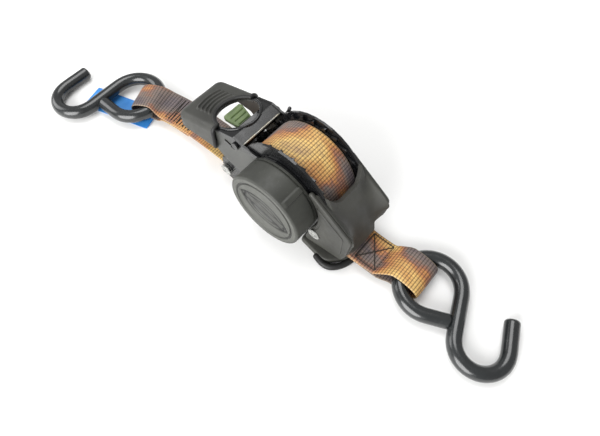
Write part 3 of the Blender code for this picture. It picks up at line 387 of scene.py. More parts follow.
blackPaint = Settings(
    cloud=(90, 5), cloudEnds=(0.3, 0.72), dark="#060607", light="#121315", scuff=(260, 6, 0.7),
    scuffStretch=(1.0, 0.25, 1.0), scuffEnds=(0.68, 0.76), scuffShare=0.12, scuffColour="#6f716f",
    gloss=(300, 4), glossEnds=(0.3, 0.75), rough=(0.2, 0.36), dullCloud=(55, 4), dullDark="#2e2f2c",
    dullLight="#3c3d39", dullRough=0.5, grain=(1500, 2), grainBump=(0.05, 0.0001),
    surface={"Coat Weight": 0.2, "Coat Roughness": 0.2})


def glossBlack(name, dullBelow=None):
    # black paint with grey scuffs and an uneven gloss; between two heights it can pass to a duller paint
    s, n = blackPaint, Nodes(name)
    colour, rough, normal = n.clouded(s, s.dark, s.light)
    worn = n.between(n.noise(*s.scuff, stretch=s.scuffStretch), 0.0, 1.0, s.scuffEnds)
    colour = n.tint(colour, worn, s.scuffShare, s.scuffColour)
    if dullBelow:
        low, high = dullBelow
        height = n.math("DIVIDE", n.math("SUBTRACT", n.split(n.place())["Z"], low), high - low)
        top = n.between(height, 0.0, 1.0, (0.0, 1.0))
        dull = n.between(n.noise(*s.dullCloud), shade(s.dullDark), shade(s.dullLight))
        colour, rough = n.mix(top, dull, colour), n.mix(top, (s.dullRough,) * 3, rough)
    return n.finish(colour, rough, normal, s.surface)


plating = Settings(
    cloud=(420, 4), dark="#8f908d", gloss=(800, 3), rough=(0.22, 0.4), grain=(1900, 2),
    grainBump=(0.15, 0.0001), surface={"Metallic": 1.0})


def brightZinc(name, light):
    # plated steel, mottled in colour and gloss
    n = Nodes(name)
    return n.finish(*n.clouded(plating, plating.dark, light), plating.surface)


vinyl = Settings(
    cloud=(70, 4), dark="#141617", light="#1f2223", dust=(600, 4), dustEnds=(0.62, 0.75), dustShare=0.08,
    dustColour="#7a7f80", gloss=(180, 4), rough=(0.19, 0.3), dip=(420, 3), dipBump=(0.1, 0.0003),
    grain=(2200, 2), grainBump=(0.08, 0.0001), surface={"Coat Weight": 0.45, "Coat Roughness": 0.1})


def hookCoat(name):
    # dipped vinyl: dark slate, glossy, with faint waves and dust
    s, n = vinyl, Nodes(name)
    colour, rough, grain = n.clouded(s, s.dark, s.light)
    dust = n.between(n.noise(*s.dust), 0.0, 1.0, s.dustEnds)
    colour = n.tint(colour, dust, s.dustShare, s.dustColour)
    return n.finish(colour, rough, n.bump(n.noise(*s.dip), *s.dipBump, grain), s.surface)


webbing = Settings(
    width=0.0254, thickness=0.0013, ribsPerWidth=12.5, threads=13.0, samplesPerRib=7, ribShare=0.2,
    acrossPoints=17, edgePower=8)
cloth = Settings(
    blotch=(0.85, 2, 0.45), blotchStretch=(0.62, 0.95, 1.0), warp=(3.2, 4, 0.6), warpStretch=(0.8, 1.6, 1.0),
    warpShare=0.16, tones=[(0.39, "#5d5459"), (0.455, "#7a6b63"), (0.49, "#92604a"), (0.515, "#bd7f49"),
    (0.56, "#cf9c57"), (0.62, "#e2bb70"), (0.7, "#ad8b62")], streak=(9, 3, 0.6),
    streakStretch=(0.5, 6.0, 1.0), streakEnds=(0.42, 0.72), streakShare=0.55, streakColour="#6b5a4c",
    valley=(0.36, 1.0), valleyEnds=(0.04, 0.42), grain=(0.72, 1.0), grainEnds=(0.0, 0.6),
    selvedgeEnds=(0.47, 0.485), selvedgeShare=0.4, selvedgeColour="#a8977c", weaveBump=(0.35, 0.00025),
    rough=0.58, surface={"Sheen Weight": 0.12, "Sheen Roughness": 0.4, "Specular IOR Level": 0.45})


def printedWebbing(name):
    # UV x runs along the length in webbing widths, UV y across from 0 to 1; the print is soft blotches from
    # two noises, and cross ribs and threads are sines of the two directions; the ribs darken their valleys as
    # painted shade, and the threads darken the colour between them
    s, n = cloth, Nodes(name)
    uv = n.place("UV")
    along, across, _ = n.split(uv)
    blotch = n.math("MULTIPLY", n.noise(*s.blotch, uv, s.blotchStretch), 1 - s.warpShare)
    warp = n.math("MULTIPLY", n.noise(*s.warp, uv, s.warpStretch), s.warpShare)
    colour = n.ramp(n.math("ADD", blotch, warp), [(at, shade(tone)) for at, tone in s.tones])
    fade = n.between(n.noise(*s.streak, uv, s.streakStretch), 0.0, 1.0, s.streakEnds)
    colour = n.tint(colour, fade, s.streakShare, s.streakColour)
    ribs, threads = n.wave(along, webbing.ribsPerWidth), n.wave(across, webbing.threads)
    # painted shade in the rib valleys; the threads darken the colour between them
    for wave, tones, ends in ((ribs, s.valley, s.valleyEnds), (threads, s.grain, s.grainEnds)):
        lifted = n.math("ADD", n.math("MULTIPLY", wave, 0.5), 0.5)
        colour = n.mix(1.0, colour, n.between(lifted, *tones, ends), "MULTIPLY")
    fromMiddle = n.math("ABSOLUTE", n.math("SUBTRACT", across, 0.5))
    selvedge = n.between(fromMiddle, 0.0, 1.0, s.selvedgeEnds)
    colour = n.tint(colour, selvedge, s.selvedgeShare, s.selvedgeColour)
    weave = n.math("MULTIPLY", n.math("MULTIPLY", ribs, threads), 0.5)
    return n.finish(colour, s.rough, n.bump(weave, *s.weaveBump), s.surface)


plain = Settings(detail=4, glossScale=4, glossDetail=3, glossSpread=0.07, grainBump=(0.2, 0.00015))


def plainColour(name, dark, light, scale, rough, grain):
    # one clouded colour with an uneven gloss and a fine grain
    s, n = plain, Nodes(name)
    recipe = Settings(cloud=(scale, s.detail), gloss=(scale * s.glossScale, s.glossDetail), grain=(grain, 2),
                      rough=(rough - s.glossSpread, rough + s.glossSpread), grainBump=s.grainBump)
    return n.finish(*n.clouded(recipe, dark, light))


gripRubber = mouldedRubber("gripRubber", "#2a2a27", "#373733")
lipRubber = mouldedRubber("lipRubber", "#0b0b0b", "#141413")
leverRubber = mouldedRubber("leverRubber", "#30302d", "#3c3c37")
# the case gets painted light on its face and painted shade in its grooves
caseGrey = mouldedRubber("caseGrey", "#2f302c", "#393a35", True, Settings(rubber, grain=(3200, 2)))
blackSteel = glossBlack("blackSteel")
armPaint = glossBlack("armPaint", dullBelow=(0.052, 0.0532))
zinc = brightZinc("zinc", "#e6e6e2")
bareEdge = brightZinc("bareEdge", "#a59d8a")
bluedSteel = plainColour("bluedSteel", "#3a3f4c", "#565d6c", scale=300, rough=0.35, grain=900)
hookVinyl = hookCoat("hookVinyl")
strapCloth = printedWebbing("strapCloth")
threadDark = plainColour("threadDark", "#15120e", "#272119", scale=900, rough=0.7, grain=3000)
tabGreen = plainColour("tabGreen", "#4e6037", "#64764a", scale=160, rough=0.5, grain=1400)
tagBlue = plainColour("tagBlue", "#2b7ccb", "#4694dd", scale=120, rough=0.45, grain=1800)
print("stage: materials")

# CAD nodes that stay get their finish
nodeFinish = [
    (blackSteel, "frame_plate_near frame_plate_far base_plate guide_sleeve ratchet_wheel_near spool_hub"),
    (blackSteel, "ratchet_wheel_far spring_arbor drive_pawl holding_pawl handle_pin"),
    (zinc, "guide_bolt guide_nut anchor_pin lever_rivet_near lever_rivet_far pivot_bush_near pivot_bush_far"),
    (zinc, "pivot_washer drum_axle axle_clip"), (armPaint, "handle_frame"), (caseGrey, "spring_case_base"),
    (bluedSteel, "power_spring"), (threadDark, "webbing_core")]
for finish, nodeNames in nodeFinish:
    for nodeName in nodeNames.split():
        nodes[nodeName].data.materials.clear()
        nodes[nodeName].data.materials.append(finish)
print("stage: CAD nodes finished")


def webbingMesh(name, path, across, startLength, gather=1.0):
    # a flat rounded section carried along the path; the half thickness swells as a sine of the length, which
    # makes cross ribs; gather is the share of the full width at each point
    w = webbing
    length = pathLength(path)
    pitch = w.width / w.ribsPerWidth
    at = np.linspace(0, length[-1], int(length[-1] / pitch * w.samplesPerRib))
    gather = np.interp(at, length, np.broadcast_to(gather, len(length)))
    across = unit(readAt(at, length, np.broadcast_to(across, path.shape)))
    path = readAt(at, length, path)
    normal = unit(np.cross(np.gradient(path, axis=0), across))
    share = w.ribShare / 2
    rib = w.thickness / 2 * (1 - share + share * np.sin(2 * np.pi * (at + startLength) / pitch))
    t = np.sin((np.linspace(0, 1, w.acrossPoints) - 0.5) * np.pi) * 0.5 + 0.5
    thin = np.sqrt(np.clip(1 - np.abs(2 * t - 1) ** w.edgePower, 0, 1))
    t, up = np.concatenate([t, t[::-1][1:-1]]), np.concatenate([thin, -thin[1:-1]])
    side = ((t - 0.5) * w.width * gather[:, None])[..., None]
    grid = path[:, None] + across[:, None] * side + normal[:, None] * (up * rib[:, None])[..., None]
    uv = np.stack(np.broadcast_arrays((at + startLength)[:, None] / w.width, t[None]), axis=-1)
    return meshFromGrid(name, grid, uv)


roll = Settings(
    outer=0.0315, turnGap=0.00045, overlap=math.radians(40), start=0.0003, printStart=0.31, points=400)


def buildRoll():
    # a spiral that starts at the bottom of the drum and falls by one turn's pitch each turn
    s = roll
    mid = s.outer - webbing.thickness / 2
    pitch = webbing.thickness + s.turnGap
    turn = np.linspace(s.start / mid, 2 * np.pi + s.overlap, s.points)
    radius = mid - pitch * turn / (2 * np.pi)
    angle = turn - np.pi / 2
    path = np.stack([radius * np.cos(angle), 0 * angle, axle[2] + radius * np.sin(angle)], axis=1)
    mesh = webbingMesh("webbingTurn", path, acrossY, s.printStart)
    addPiece(mesh, "drum", "webbing", strapCloth, ["webbing_outer_turn"])


hook = Settings(
    wire=0.00475, bendRadius=0.016, bendCentre=(0.0545, -0.0063), eyeRadius=0.0192,
    eyeCentre=(0.012, 0.0045), eyeEnd=math.radians(285), tipAngle=math.radians(24), tipLength=0.021,
    buttRise=0.0078, buttGap=-0.003, barU=-0.0062, barV=0.0043, barZ=0.0083, rearPlace=(0.0867, -0.0008),
    frontPlace=(-0.1423, -0.0128), frontTurn=math.radians(23.5), bendPoints=40, eyePoints=50, points=330,
    easing=7, sides=32, roundEnd=0.0022)


def hookAxes(which):
    # a point on the hook's plan and the directions along it, away from the strap, and across it
    if which == "rear":
        return np.array(hook.rearPlace), np.array([1.0, 0.0]), np.array([0.0, 1.0])
    turn = hook.frontTurn
    return (np.array(hook.frontPlace), np.array([-math.cos(turn), -math.sin(turn)]),
            np.array([-math.sin(turn), math.cos(turn)]))


def hookPlan():
    # tip leg, round bend, shank on the circles' inner tangent, round eye and a butt that stops at the shank
    s = hook
    bend, eye = np.array(s.bendCentre), np.array(s.eyeCentre)
    gap = eye - bend
    leave = math.atan2(gap[1], gap[0]) + math.acos((s.bendRadius + s.eyeRadius) / np.linalg.norm(gap))
    bendArc = arcPoints(bend, s.bendRadius, s.tipAngle, leave - 2 * math.pi, s.bendPoints)
    eyeArc = arcPoints(eye, s.eyeRadius, leave - math.pi, s.eyeEnd, s.eyePoints)
    tip = bendArc[0] + s.tipLength * np.array([-math.sin(s.tipAngle), math.cos(s.tipAngle)])
    start, end, last = bendArc[-1], eyeArc[0], eyeArc[-1]
    shank = unit(end - start)
    rise = last[1] + s.buttRise
    meet = start + (end - start) * (rise - start[1]) / (end[1] - start[1])
    room = (s.wire + s.buttGap + s.wire * abs(shank[0])) / abs(shank[1])
    return np.vstack([tip, bendArc, eyeArc, meet - [room, 0]])


def buildHook(which):
    # a round wire along the plan, sloping from the strap's bar down to the floor
    s = hook
    place, along, across = hookAxes(which)
    plan = hookPlan()
    far = s.bendCentre[0] + s.bendRadius
    z = s.barZ + (s.wire - s.barZ) * (plan[:, 0] - s.barU) / (far - s.barU)
    route = np.column_stack([place + plan[:, :1] * along + plan[:, 1:] * across, z])
    path, at = resample(route, s.points)
    tube = s.wire, s.sides, s.roundEnd
    addTube(which + "HookWire", (softened(path, s.easing), at), tube, upZ, which + "_hook", "hook_vinyl",
            hookVinyl, [which + "_hook"], smooth=50)


# loose loop as (distance past the hook's bar, height): over the wire, round the fold and back below
strapLoop = Settings(
    route=[(-0.0105, 0.0098), (-0.006, 0.0119), (-0.0015, 0.0136), (0.0036, 0.0139), (0.0094, 0.0129),
    (0.0137, 0.0109), (0.0157, 0.0074), (0.0141, 0.0042), (0.0102, 0.0023), (0.0042, 0.0019),
    (-0.0018, 0.0019), (-0.0068, 0.0023), (-0.011, 0.0039)], bend=(-0.0108, 0.0012),
    gather=(-0.016, 0.004))


def addLoop(name, path, across, printStart, pastBar, share, bodies, bar, along, node):
    # webbing whose full width passes in a smooth S to a share of it at the hook's bar, where it bends
    s = strapLoop
    bend = ((*(bar + along * distance), hook.barZ) for distance in s.bend)
    gather = 1 - (1 - share) * easeStep(pastBar, *s.gather)
    mesh = webbingMesh(name, path, across, printStart, gather)
    addPiece(mesh, (*bodies, *bend), "webbing", strapCloth, [node])


stitch = Settings(spacing=0.0019, points=7, gap=0.06, arch=0.00038, sunk=0.0001, radius=0.00034)


def buildStitches(name, lines, onCloth, body):
    # threads end to end along each line; each is a small arch that dips into the cloth at both ends
    s, threads = stitch, []
    for start, end in np.array(lines):
        count = max(2, int(np.linalg.norm(end - start) / s.spacing))
        t = (np.arange(count)[:, None] + np.linspace(s.gap, 1 - s.gap, s.points)) / count
        threads.append(start + (end - start) * t[..., None])
    points = onCloth(np.concatenate(threads))
    points[..., 2] += s.arch * np.sin(np.linspace(0, np.pi, s.points)) - s.sunk
    addPiece(threadMesh(name, points, s.radius), body, "webbing", threadDark)


rearStrap = Settings(
    pin=(0.04, 0.0095), pinRadius=0.00395, overPin=(180, 60), underPin=(285, 183), pinPoints=8, points=600,
    sewnZ=0.0066, layerStep=0.0018, sewnFront=0.05, sewnRear=0.0655, aside=0.0037, asideEnd=0.002,
    box=(0.0515, 0.0668, 0.0104), endRow=0.0014, gather=0.94, printStart=0.02)


def buildRearStrap():
    # a sewn ring: round the anchor pin, along the upper layer, over the hook's bar and back along the lower
    # layer; it drifts aside between the seam and the bar
    s = rearStrap
    barX = hook.rearPlace[0] + hook.barU
    upper, lower = s.sewnZ + s.layerStep / 2, s.sewnZ - s.layerStep / 2
    over, under = (arcPoints(s.pin, s.pinRadius, *np.radians(s[key]), s.pinPoints)
                   for key in ("overPin", "underPin"))
    loop = np.array(strapLoop.route) + [barX, 0]
    side = np.vstack([over, [(s.sewnFront, upper), (s.sewnRear, upper)], loop,
                      [(s.sewnRear, lower), (s.sewnFront, lower)], under])
    x, z = curveThrough(side, s.points)[0].T
    path = np.stack([x, s.aside * easeStep(x, s.sewnRear, barX - s.asideEnd), z], axis=1)
    addLoop("rearStrapLoop", path, acrossY, s.printStart, x - barX, s.gather, ("frame", "rear_hook"),
            np.array([barX, 0]), np.array([1, 0]), "rear_strap")
    # the seam is a box with its diagonals, and one more row behind it
    x0, x1, half = s.box
    x2 = x1 + s.endRow
    lines = [((x0, -half), (x1, -half)), ((x0, half), (x1, half)), ((x0, -half), (x0, half)),
             ((x1, -half), (x1, half)), ((x0, -half), (x1, half)), ((x0, half), (x1, -half)),
             ((x2, -half), (x2, half))]
    top = upper + webbing.thickness / 2

    def onStrap(flat):
        # flat points laid on the upper layer
        return np.concatenate([flat, np.full((*flat.shape[:2], 1), top)], axis=2)

    buildStitches("rearStitches", lines, onStrap, "frame")


frontStrap = Settings(
    mouth=-0.057, startGap=0.0003, strapZ=0.00815, midX=-0.092, midZ=0.0084, sewnX=-0.1205, sewnZ=0.0087,
    lapX=-0.098, layerStep=0.0018, pull=0.25, points=1000, gather=0.85, printStart=0.345, seamHalf=0.0104,
    seamStep=0.0026, seamStart=0.002, seamEnd=0.0012)


def frontEnds():
    # where the tongue leaves the frame, where it meets the bar, the heading there and the distance between
    place, along, across = hookAxes("front")
    start, bar = np.array([frontStrap.mouth, 0.0]), place + along * hook.barU + across * hook.barV
    return start, bar, along, np.linalg.norm(bar - start)


def frontPlan(distance):
    # place and heading in plan: straight in the frame, a Bezier curve to the bar, straight along the hook
    start, end, along, reach = frontEnds()
    t = np.clip(distance / reach, 0, 1)[..., None]
    pull = reach * frontStrap.pull
    a, b, c, d = start, start + [-pull, 0], end - along * pull, end
    spot = a * (1 - t) ** 3 + 3 * b * t * (1 - t) ** 2 + 3 * c * t**2 * (1 - t) + d * t**3
    way = (b - a) * (1 - t) ** 2 + 2 * (c - b) * t * (1 - t) + (d - c) * t**2
    spot = spot + np.minimum(distance, 0)[..., None] * [-1, 0]
    return spot + np.maximum(distance - reach, 0)[..., None] * along, unit(way)


def buildFrontStrap():
    # the tongue: level to the mouth and the seam, then a loose loop over the bar, its end lapped below
    s = frontStrap
    _, bar, along, reach = frontEnds()
    sewn, lap, mid = (s.mouth - s[key] for key in ("sewnX", "lapX", "midX"))
    inside = [(s.mouth + s.startGap, s.strapZ), (s.mouth / 2, s.strapZ), (0, s.strapZ)]
    side = np.vstack([inside, [(mid, s.midZ), (sewn, s.sewnZ)], np.array(strapLoop.route) + [reach, 0],
                      [(sewn, s.sewnZ - s.layerStep), (lap, s.midZ - s.layerStep)]])
    distance, z = curveThrough(side, s.points)[0].T
    spot, way = frontPlan(distance)
    across = np.column_stack([way[:, 1], -way[:, 0], 0 * z])
    addLoop("frontTongue", np.column_stack([spot, z]), across, s.printStart, distance - reach, s.gather,
            ("front_strap", "front_hook"), bar, along, "front_strap")
    # the seam is a row of bars with a zigzag between them
    bars = np.arange(lap + s.seamStart, sewn + s.seamEnd, s.seamStep)
    half = s.seamHalf
    lines = [((d, -half), (d, half)) for d in bars]
    lines += [((a, -half), (b, half)) for a, b in zip(bars[:-1:2], bars[1::2])]
    upper = slice(len(z) // 2)

    def onTongue(flat):
        # flat points laid on the upper layer along the tongue's own course
        spot, way = frontPlan(flat[..., 0])
        top = np.interp(flat[..., 0], distance[upper], z[upper]) + webbing.thickness / 2
        spot = spot + np.stack([way[..., 1], -way[..., 0]], axis=-1) * flat[..., 1:]
        return np.concatenate([spot, top[..., None]], axis=-1)

    buildStitches("frontStitches", lines, onTongue, "front_strap")


tag = Settings(
    width=0.0196, thickness=0.0004, crown=0.0002, hem=0.004, hemEdge=0.0002, hemThick=1.5, floorGap=0.00004,
    points=90, acrossPoints=15, route=[(-0.1338, -0.0159, 0.0008), (-0.1385, -0.0173, 0.0003),
    (-0.162, -0.0243, 0.0003), (-0.1876, -0.0319, 0.0006)])


def buildTag():
    # a thin ribbon along its route with a slight crown across and a folded hem at the end
    s = tag
    path, at = curveThrough(s.route, s.points)
    heading = unit(np.column_stack([np.gradient(path[:, 0]), np.gradient(path[:, 1]), 0 * at]))
    across = np.column_stack([heading[:, 1], -heading[:, 0], 0 * at])
    normal = unit(np.cross(across, np.gradient(path, axis=0)))
    t = np.linspace(-1, 1, s.acrossPoints)
    t, up = np.concatenate([t, t[::-1]]), np.repeat([0.5, -0.5], s.acrossPoints)
    inHem = (at > at[-1] - s.hem) & (at < at[-1] - s.hemEdge)
    thick = s.thickness * np.where(inHem, s.hemThick, 1.0)
    lift = up[None] * thick[:, None] + s.crown * (1 - t**2)[None]
    side = across[:, None] * (t * s.width / 2)[:, None]
    grid = path[:, None] + side + normal[:, None] * lift[..., None]
    grid[..., 2] = np.maximum(grid[..., 2], s.floorGap)
    mesh = meshFromGrid("blankTag", grid)
    addPiece(mesh, "front_strap", "tag_vinyl", tagBlue, ["blank_tag"], smooth=30)


buildRoll()
buildRearStrap()
buildFrontStrap()
buildTag()
buildHook("rear")
buildHook("front")
print("stage: webbing, tag and hooks")

case = Settings(
    radius=0.026, faceY=-0.036, rimY=-0.0198, wall=0.0018, edge=0.0013, rimEase=0.0005, floorExtra=0.0014,
    pole=0.0002, ringIn=0.0206, ringOut=0.0219, ringSoft=(0.0003, 0.0002), ringDeep=0.0008, ringShade=0.8,
    dish=0.0004, dishEdge=(-0.0012, -0.0006), lensLong=0.0184, lensHigh=0.0102, lensStep=0.003,
    innerLine=0.8, barLine=1.2, lineDeep=0.0008, lineWide=0.00075, lineShade=1.3, barLong=0.0156,
    barHigh=0.0036, barCorner=0.001, barDeep=0.0005, barShade=0.45, barClear=(0.0002, 0.0007),
    barEdge=(-0.0009, -0.0004), tilt=math.radians(-17), ribFrom=math.radians(51), ribTo=math.radians(57.5),
    ribSoft=math.radians(1.2), ribStart=0.0012, ribHigh=0.0008, ribBand=0.0004, faceSteps=112, edgeSteps=9,
    sideSteps=16, aroundSteps=360)


def caseDepth(r, angle):
    # how far the face lies behind its front plane: a grooved ring, two lens outlines as soft grooves, and a
    # sunk bar with a rim; the second result is the painted shade for the grooves and the sunk bar
    s = case
    x, z = r * np.cos(angle), r * np.sin(angle)
    u = x * math.cos(s.tilt) + z * math.sin(s.tilt)
    v = z * math.cos(s.tilt) - x * math.sin(s.tilt)
    outside, inside = s.ringSoft
    ring = easeStep(r, s.ringIn - outside, s.ringIn + inside)
    ring = ring * (1 - easeStep(r, s.ringOut - inside, s.ringOut + outside))
    lensRadius = (s.lensLong ** 2 + s.lensHigh ** 2) / (2 * s.lensHigh)
    shift = lensRadius - s.lensHigh
    lens = np.maximum(np.hypot(u, v - shift), np.hypot(u, v + shift)) - lensRadius
    qu, qv = np.abs(u) - s.barLong + s.barCorner, np.abs(v) - s.barHigh + s.barCorner
    bar = np.hypot(np.maximum(qu, 0), np.maximum(qv, 0)) + np.minimum(np.maximum(qu, qv), 0) - s.barCorner
    outer, inner, rim = (np.exp(-(d / s.lineWide) ** 2) for d in (lens, lens + s.lensStep, bar))
    line = (outer + s.innerLine * inner) * easeStep(bar, *s.barClear) + s.barLine * rim
    sunk = 1 - easeStep(bar, *s.barEdge)
    dish = s.dish * (1 - easeStep(r - s.ringIn, *s.dishEdge))
    depth = s.ringDeep * ring + dish + s.lineDeep * line + s.barDeep * sunk
    # painted shade: the ring, the lens lines and the sunk bar darken by how deep they lie
    return depth, np.clip(s.ringShade * ring + s.lineShade * line + s.barShade * sunk, 0, 1)


def buildCase():
    # a thin cup turned about the drum's axle: patterned face, rounded edge and a rib along its side
    s = case
    r, face, edge = s.radius, s.faceY, s.edge
    inR, inY = r - s.wall, face + s.wall + s.floorExtra
    bend = np.linspace(0, np.pi / 2, s.edgeSteps)
    faceR = np.linspace(s.pole, r - edge, s.faceSteps)[:-1]
    sideY = np.linspace(face + edge, s.rimY - s.rimEase, s.sideSteps)[1:]
    profile = np.vstack([np.column_stack([faceR, 0 * faceR + face]),
                         np.column_stack([r - edge + edge * np.sin(bend), face + edge - edge * np.cos(bend)]),
                         np.column_stack([0 * sideY + r, sideY]),
                         [(r - s.rimEase, s.rimY), (inR, s.rimY), (inR, inY), (s.pole, inY)]])
    radius, turn = np.meshgrid(profile[:, 0], fullTurn(s.aroundSteps), indexing="ij")
    y = np.broadcast_to(profile[:, 1:], radius.shape)
    onFace = np.arange(len(profile))[:, None] < len(faceR)
    depth, grooveShade = caseDepth(radius, turn)
    y = np.where(onFace, y + depth, y)
    onSide = easeStep(y, face + edge, face + edge + s.ribStart) * (radius > r - s.ribBand)
    rib = easeStep(turn, s.ribFrom - s.ribSoft, s.ribFrom)
    rib = rib * (1 - easeStep(turn, s.ribTo, s.ribTo + s.ribSoft))
    radius = radius + s.ribHigh * rib * onSide
    grid = np.stack([radius * np.cos(turn), y, axle[2] + radius * np.sin(turn)], axis=-1)
    # UV x carries the painted shade of the grooves, UV y marks the face for painted light
    uv = np.stack([np.where(onFace, grooveShade, 0), np.broadcast_to(onFace, grooveShade.shape)], axis=-1)
    mesh = meshFromGrid("springCase", grid, uv)
    addPiece(mesh, "frame", "case_plastic", caseGrey, ["spring_case"], smooth=50)


buildCase()
print("stage: spring housing")

grip = Settings(
    endX=-0.091, rearX=-0.0565, endTop=0.0442, rearTop=0.0542, skirt=0.0347, endDrop=0.0025, half=0.0196,
    corner=0.0042, wall=0.0013, topShare=0.5, bendShare=0.18, nose=0.0045, noseDrop=0.0026, pinchLong=1.6,
    pinch=0.16, holeX=-0.0535, holeLong=0.0145, holeWide=0.015, ridgeR=(0.0186, 0.0219, 0.0252, 0.0285),
    ridgeHigh=0.0015, ridgeWide=0.0008, ridgeHalf=0.0112, ridgeSoft=0.0016, ridgeClear=(0.005, 0.008),
    acrossSteps=141, noseShare=0.2, noseSteps=18, alongSteps=96, capSteps=6)

# tubes are (radius, sides, rounded end)
holeEdge = Settings(
    lip=(0.0014, 14, 0.0012), lipFrom=0.02, lipSteps=260, lipDrop=0.0004, aimX=0.03, aimZ=0.02,
    ring=(0.0011, 14, 0.001), ringHalf=math.radians(98), ringArc=80, ringSteps=120,
    webX=(-0.057, -0.052, -0.04, -0.033), webZ=(0.0512, 0.054, 0.0575, 0.0554))


def gripRearEdge(y):
    # the grip ends on the front half of the finger hole, and on a straight edge beside it
    inside = np.sqrt(np.clip(1 - (y / grip.holeWide) ** 2, 0, 1))
    return np.minimum(grip.holeX - grip.holeLong * inside, grip.rearX)


def gripPoint(a, b):
    # a runs across from one skirt's foot over the top to the other, b from the grip's end to its rear edge;
    # the top rises in a line and is rounded down at the end, and ridges are bell curves of the distance from
    # the finger hole
    s = grip
    u = (a - 0.5) * 2
    sign, m = np.sign(u), np.abs(u)
    bendEnd = s.topShare + s.bendShare
    topPart = np.clip(m / s.topShare, 0, 1)
    bendPart = np.clip((m - s.topShare) / s.bendShare, 0, 1) * np.pi / 2
    sidePart = np.clip((m - bendEnd) / (1 - bendEnd), 0, 1)
    y = (s.half - s.corner) * topPart + s.corner * np.sin(bendPart)
    drop = s.corner * (1 - np.cos(bendPart))
    x = s.endX + (gripRearEdge(sign * y) - s.endX) * b
    pinch = np.clip(1 - (x - s.endX) / (s.nose * s.pinchLong), 0, 1)
    y = sign * y * (1 - s.pinch * (1 - np.sqrt(1 - pinch**2)))
    along = (x - s.endX) / (s.rearX - s.endX)
    fall = np.clip(1 - (x - s.endX) / s.nose, 0, 1)
    top = s.endTop + (s.rearTop - s.endTop) * along - s.noseDrop * (1 - np.sqrt(1 - fall**2))
    foot = s.skirt - s.endDrop * (1 - along) ** 2
    z = top - drop - sidePart * (top - s.corner - foot)
    away = np.hypot(x - s.holeX, y)[..., None] - s.ridgeR
    ridge = np.exp(-(away / s.ridgeWide) ** 2).sum(axis=-1)
    window = 1 - easeStep(np.abs(y), s.ridgeHalf - s.ridgeSoft, s.ridgeHalf)
    window = window * easeStep(x - s.endX, *s.ridgeClear)
    return np.stack([x, y, z + s.ridgeHigh * ridge * window], axis=-1)


def buildGrip():
    # the hood's sheet with a wall; its end is closed by drawing the end section in to a point at its foot
    s = grip
    nose = np.linspace(0, s.noseShare, s.noseSteps)[:-1]
    b = np.concatenate([nose, np.linspace(s.noseShare, 1, s.alongSteps)])
    sheet = gripPoint(*np.meshgrid(np.linspace(0, 1, s.acrossSteps), b, indexing="ij"))
    rim = sheet[:, :1]
    foot = np.array([s.endX, 0.0, rim[0, 0, 2]])
    cap = foot + (rim - foot) * np.linspace(0, 1, s.capSteps)[None, :-1, None]
    mesh = meshFromGrid("gripHood", np.concatenate([cap, sheet], axis=1), wrapV=False, capU=False)
    piece = addPiece(mesh, "handle", "moulded_rubber", gripRubber, ["handle_grip"])
    thick = piece.modifiers.new("wall", "SOLIDIFY")
    thick.thickness = s.wall
    thick.offset = -1
    thick.use_rim = True


def buildHoleEdge():
    # a lip along the grip's rear edge; the pressing's own rim carries it on round the rear half of the hole,
    # at the height of the web below
    s = holeEdge
    edge = gripPoint(np.linspace(s.lipFrom, 1 - s.lipFrom, s.lipSteps), np.ones(s.lipSteps))
    edge[:, 2] -= s.lipDrop
    outward = edge - [grip.endX - s.aimX, 0.0, grip.skirt - s.aimZ]
    addTube("gripLip", resample(edge, s.lipSteps), s.lip, outward, "handle", "moulded_rubber", lipRubber)
    rear = arcPoints((0.0, 0.0), 1.0, -s.ringHalf, s.ringHalf, s.ringArc)
    rear = rear * [grip.holeLong, grip.holeWide] + [grip.holeX, 0.0]
    path = resample(np.column_stack([rear, np.interp(rear[:, 0], s.webX, s.webZ)]), s.ringSteps)
    addTube("holeRing", path, s.ring, upZ, "handle", "black_steel", blackSteel)


buildGrip()
buildHoleEdge()
print("stage: handle grip")

pullTab = Settings(
    angle=math.radians(168), start=0.0493, end=0.0605, wide=0.0075, narrow=0.0058, thick=0.003, spread=1.3,
    tipFrom=0.85, tipNarrow=0.1, square=0.22, ridgeTurns=3.5, ridgePhase=0.8, ridgePower=0.5,
    ridgeHigh=0.0008, bandHalf=0.8, bandSoft=0.12, bandEnd=0.93, bandEndSoft=0.05, alongSteps=60,
    aroundSteps=64)


def buildTab():
    # a flat superellipse section along the pawl's radius, wider outwards, with ridges as a raised sine
    s = pullTab
    u, v = np.meshgrid(np.linspace(0, 1, s.alongSteps), fullTurn(s.aroundSteps), indexing="ij")
    radius = s.start + (s.end - s.start) * u
    half = s.narrow + (s.wide - s.narrow) * np.minimum(1, s.spread * u)
    half = half * (1 - s.tipNarrow * np.maximum(0, u - s.tipFrom) / (1 - s.tipFrom))
    y, h = (size * np.sign(wave) * np.abs(wave) ** s.square
            for size, wave in ((half, np.cos(v)), (s.thick / 2, np.sin(v))))
    wave = np.clip(np.sin(u * 2 * np.pi * s.ridgeTurns - s.ridgePhase), 0, 1) ** s.ridgePower
    band = np.clip((s.bandHalf - np.abs(y) / half) / s.bandSoft, 0, 1)
    band = band * np.clip((s.bandEnd - u) / s.bandEndSoft, 0, 1)
    h = np.where(np.sin(v) > 0, h + s.ridgeHigh * wave * band, h)
    along = np.array([math.cos(s.angle), 0, math.sin(s.angle)])
    up = np.array([along[2], 0, -along[0]])
    grid = axle + radius[..., None] * along + y[..., None] * acrossY + h[..., None] * up
    mesh = meshFromGrid("pullTab", grid)
    addPiece(mesh, "drive_pawl", "tab_plastic", tabGreen, ["pull_tab"], smooth=35)


handleTrim = Settings(
    edgeX=-0.0327, edgeZ=0.0553, edgeHalf=0.0163, edge=(0.00075, 10, 0.0004), edgeSteps=30,
    ear=(0.0012, 16, 0.0011), earY=0.0176, earSteps=40, earRoute=[(-0.0315, 0.052), (-0.029, 0.0556),
    (-0.0268, 0.0602), (-0.0256, 0.0643)])


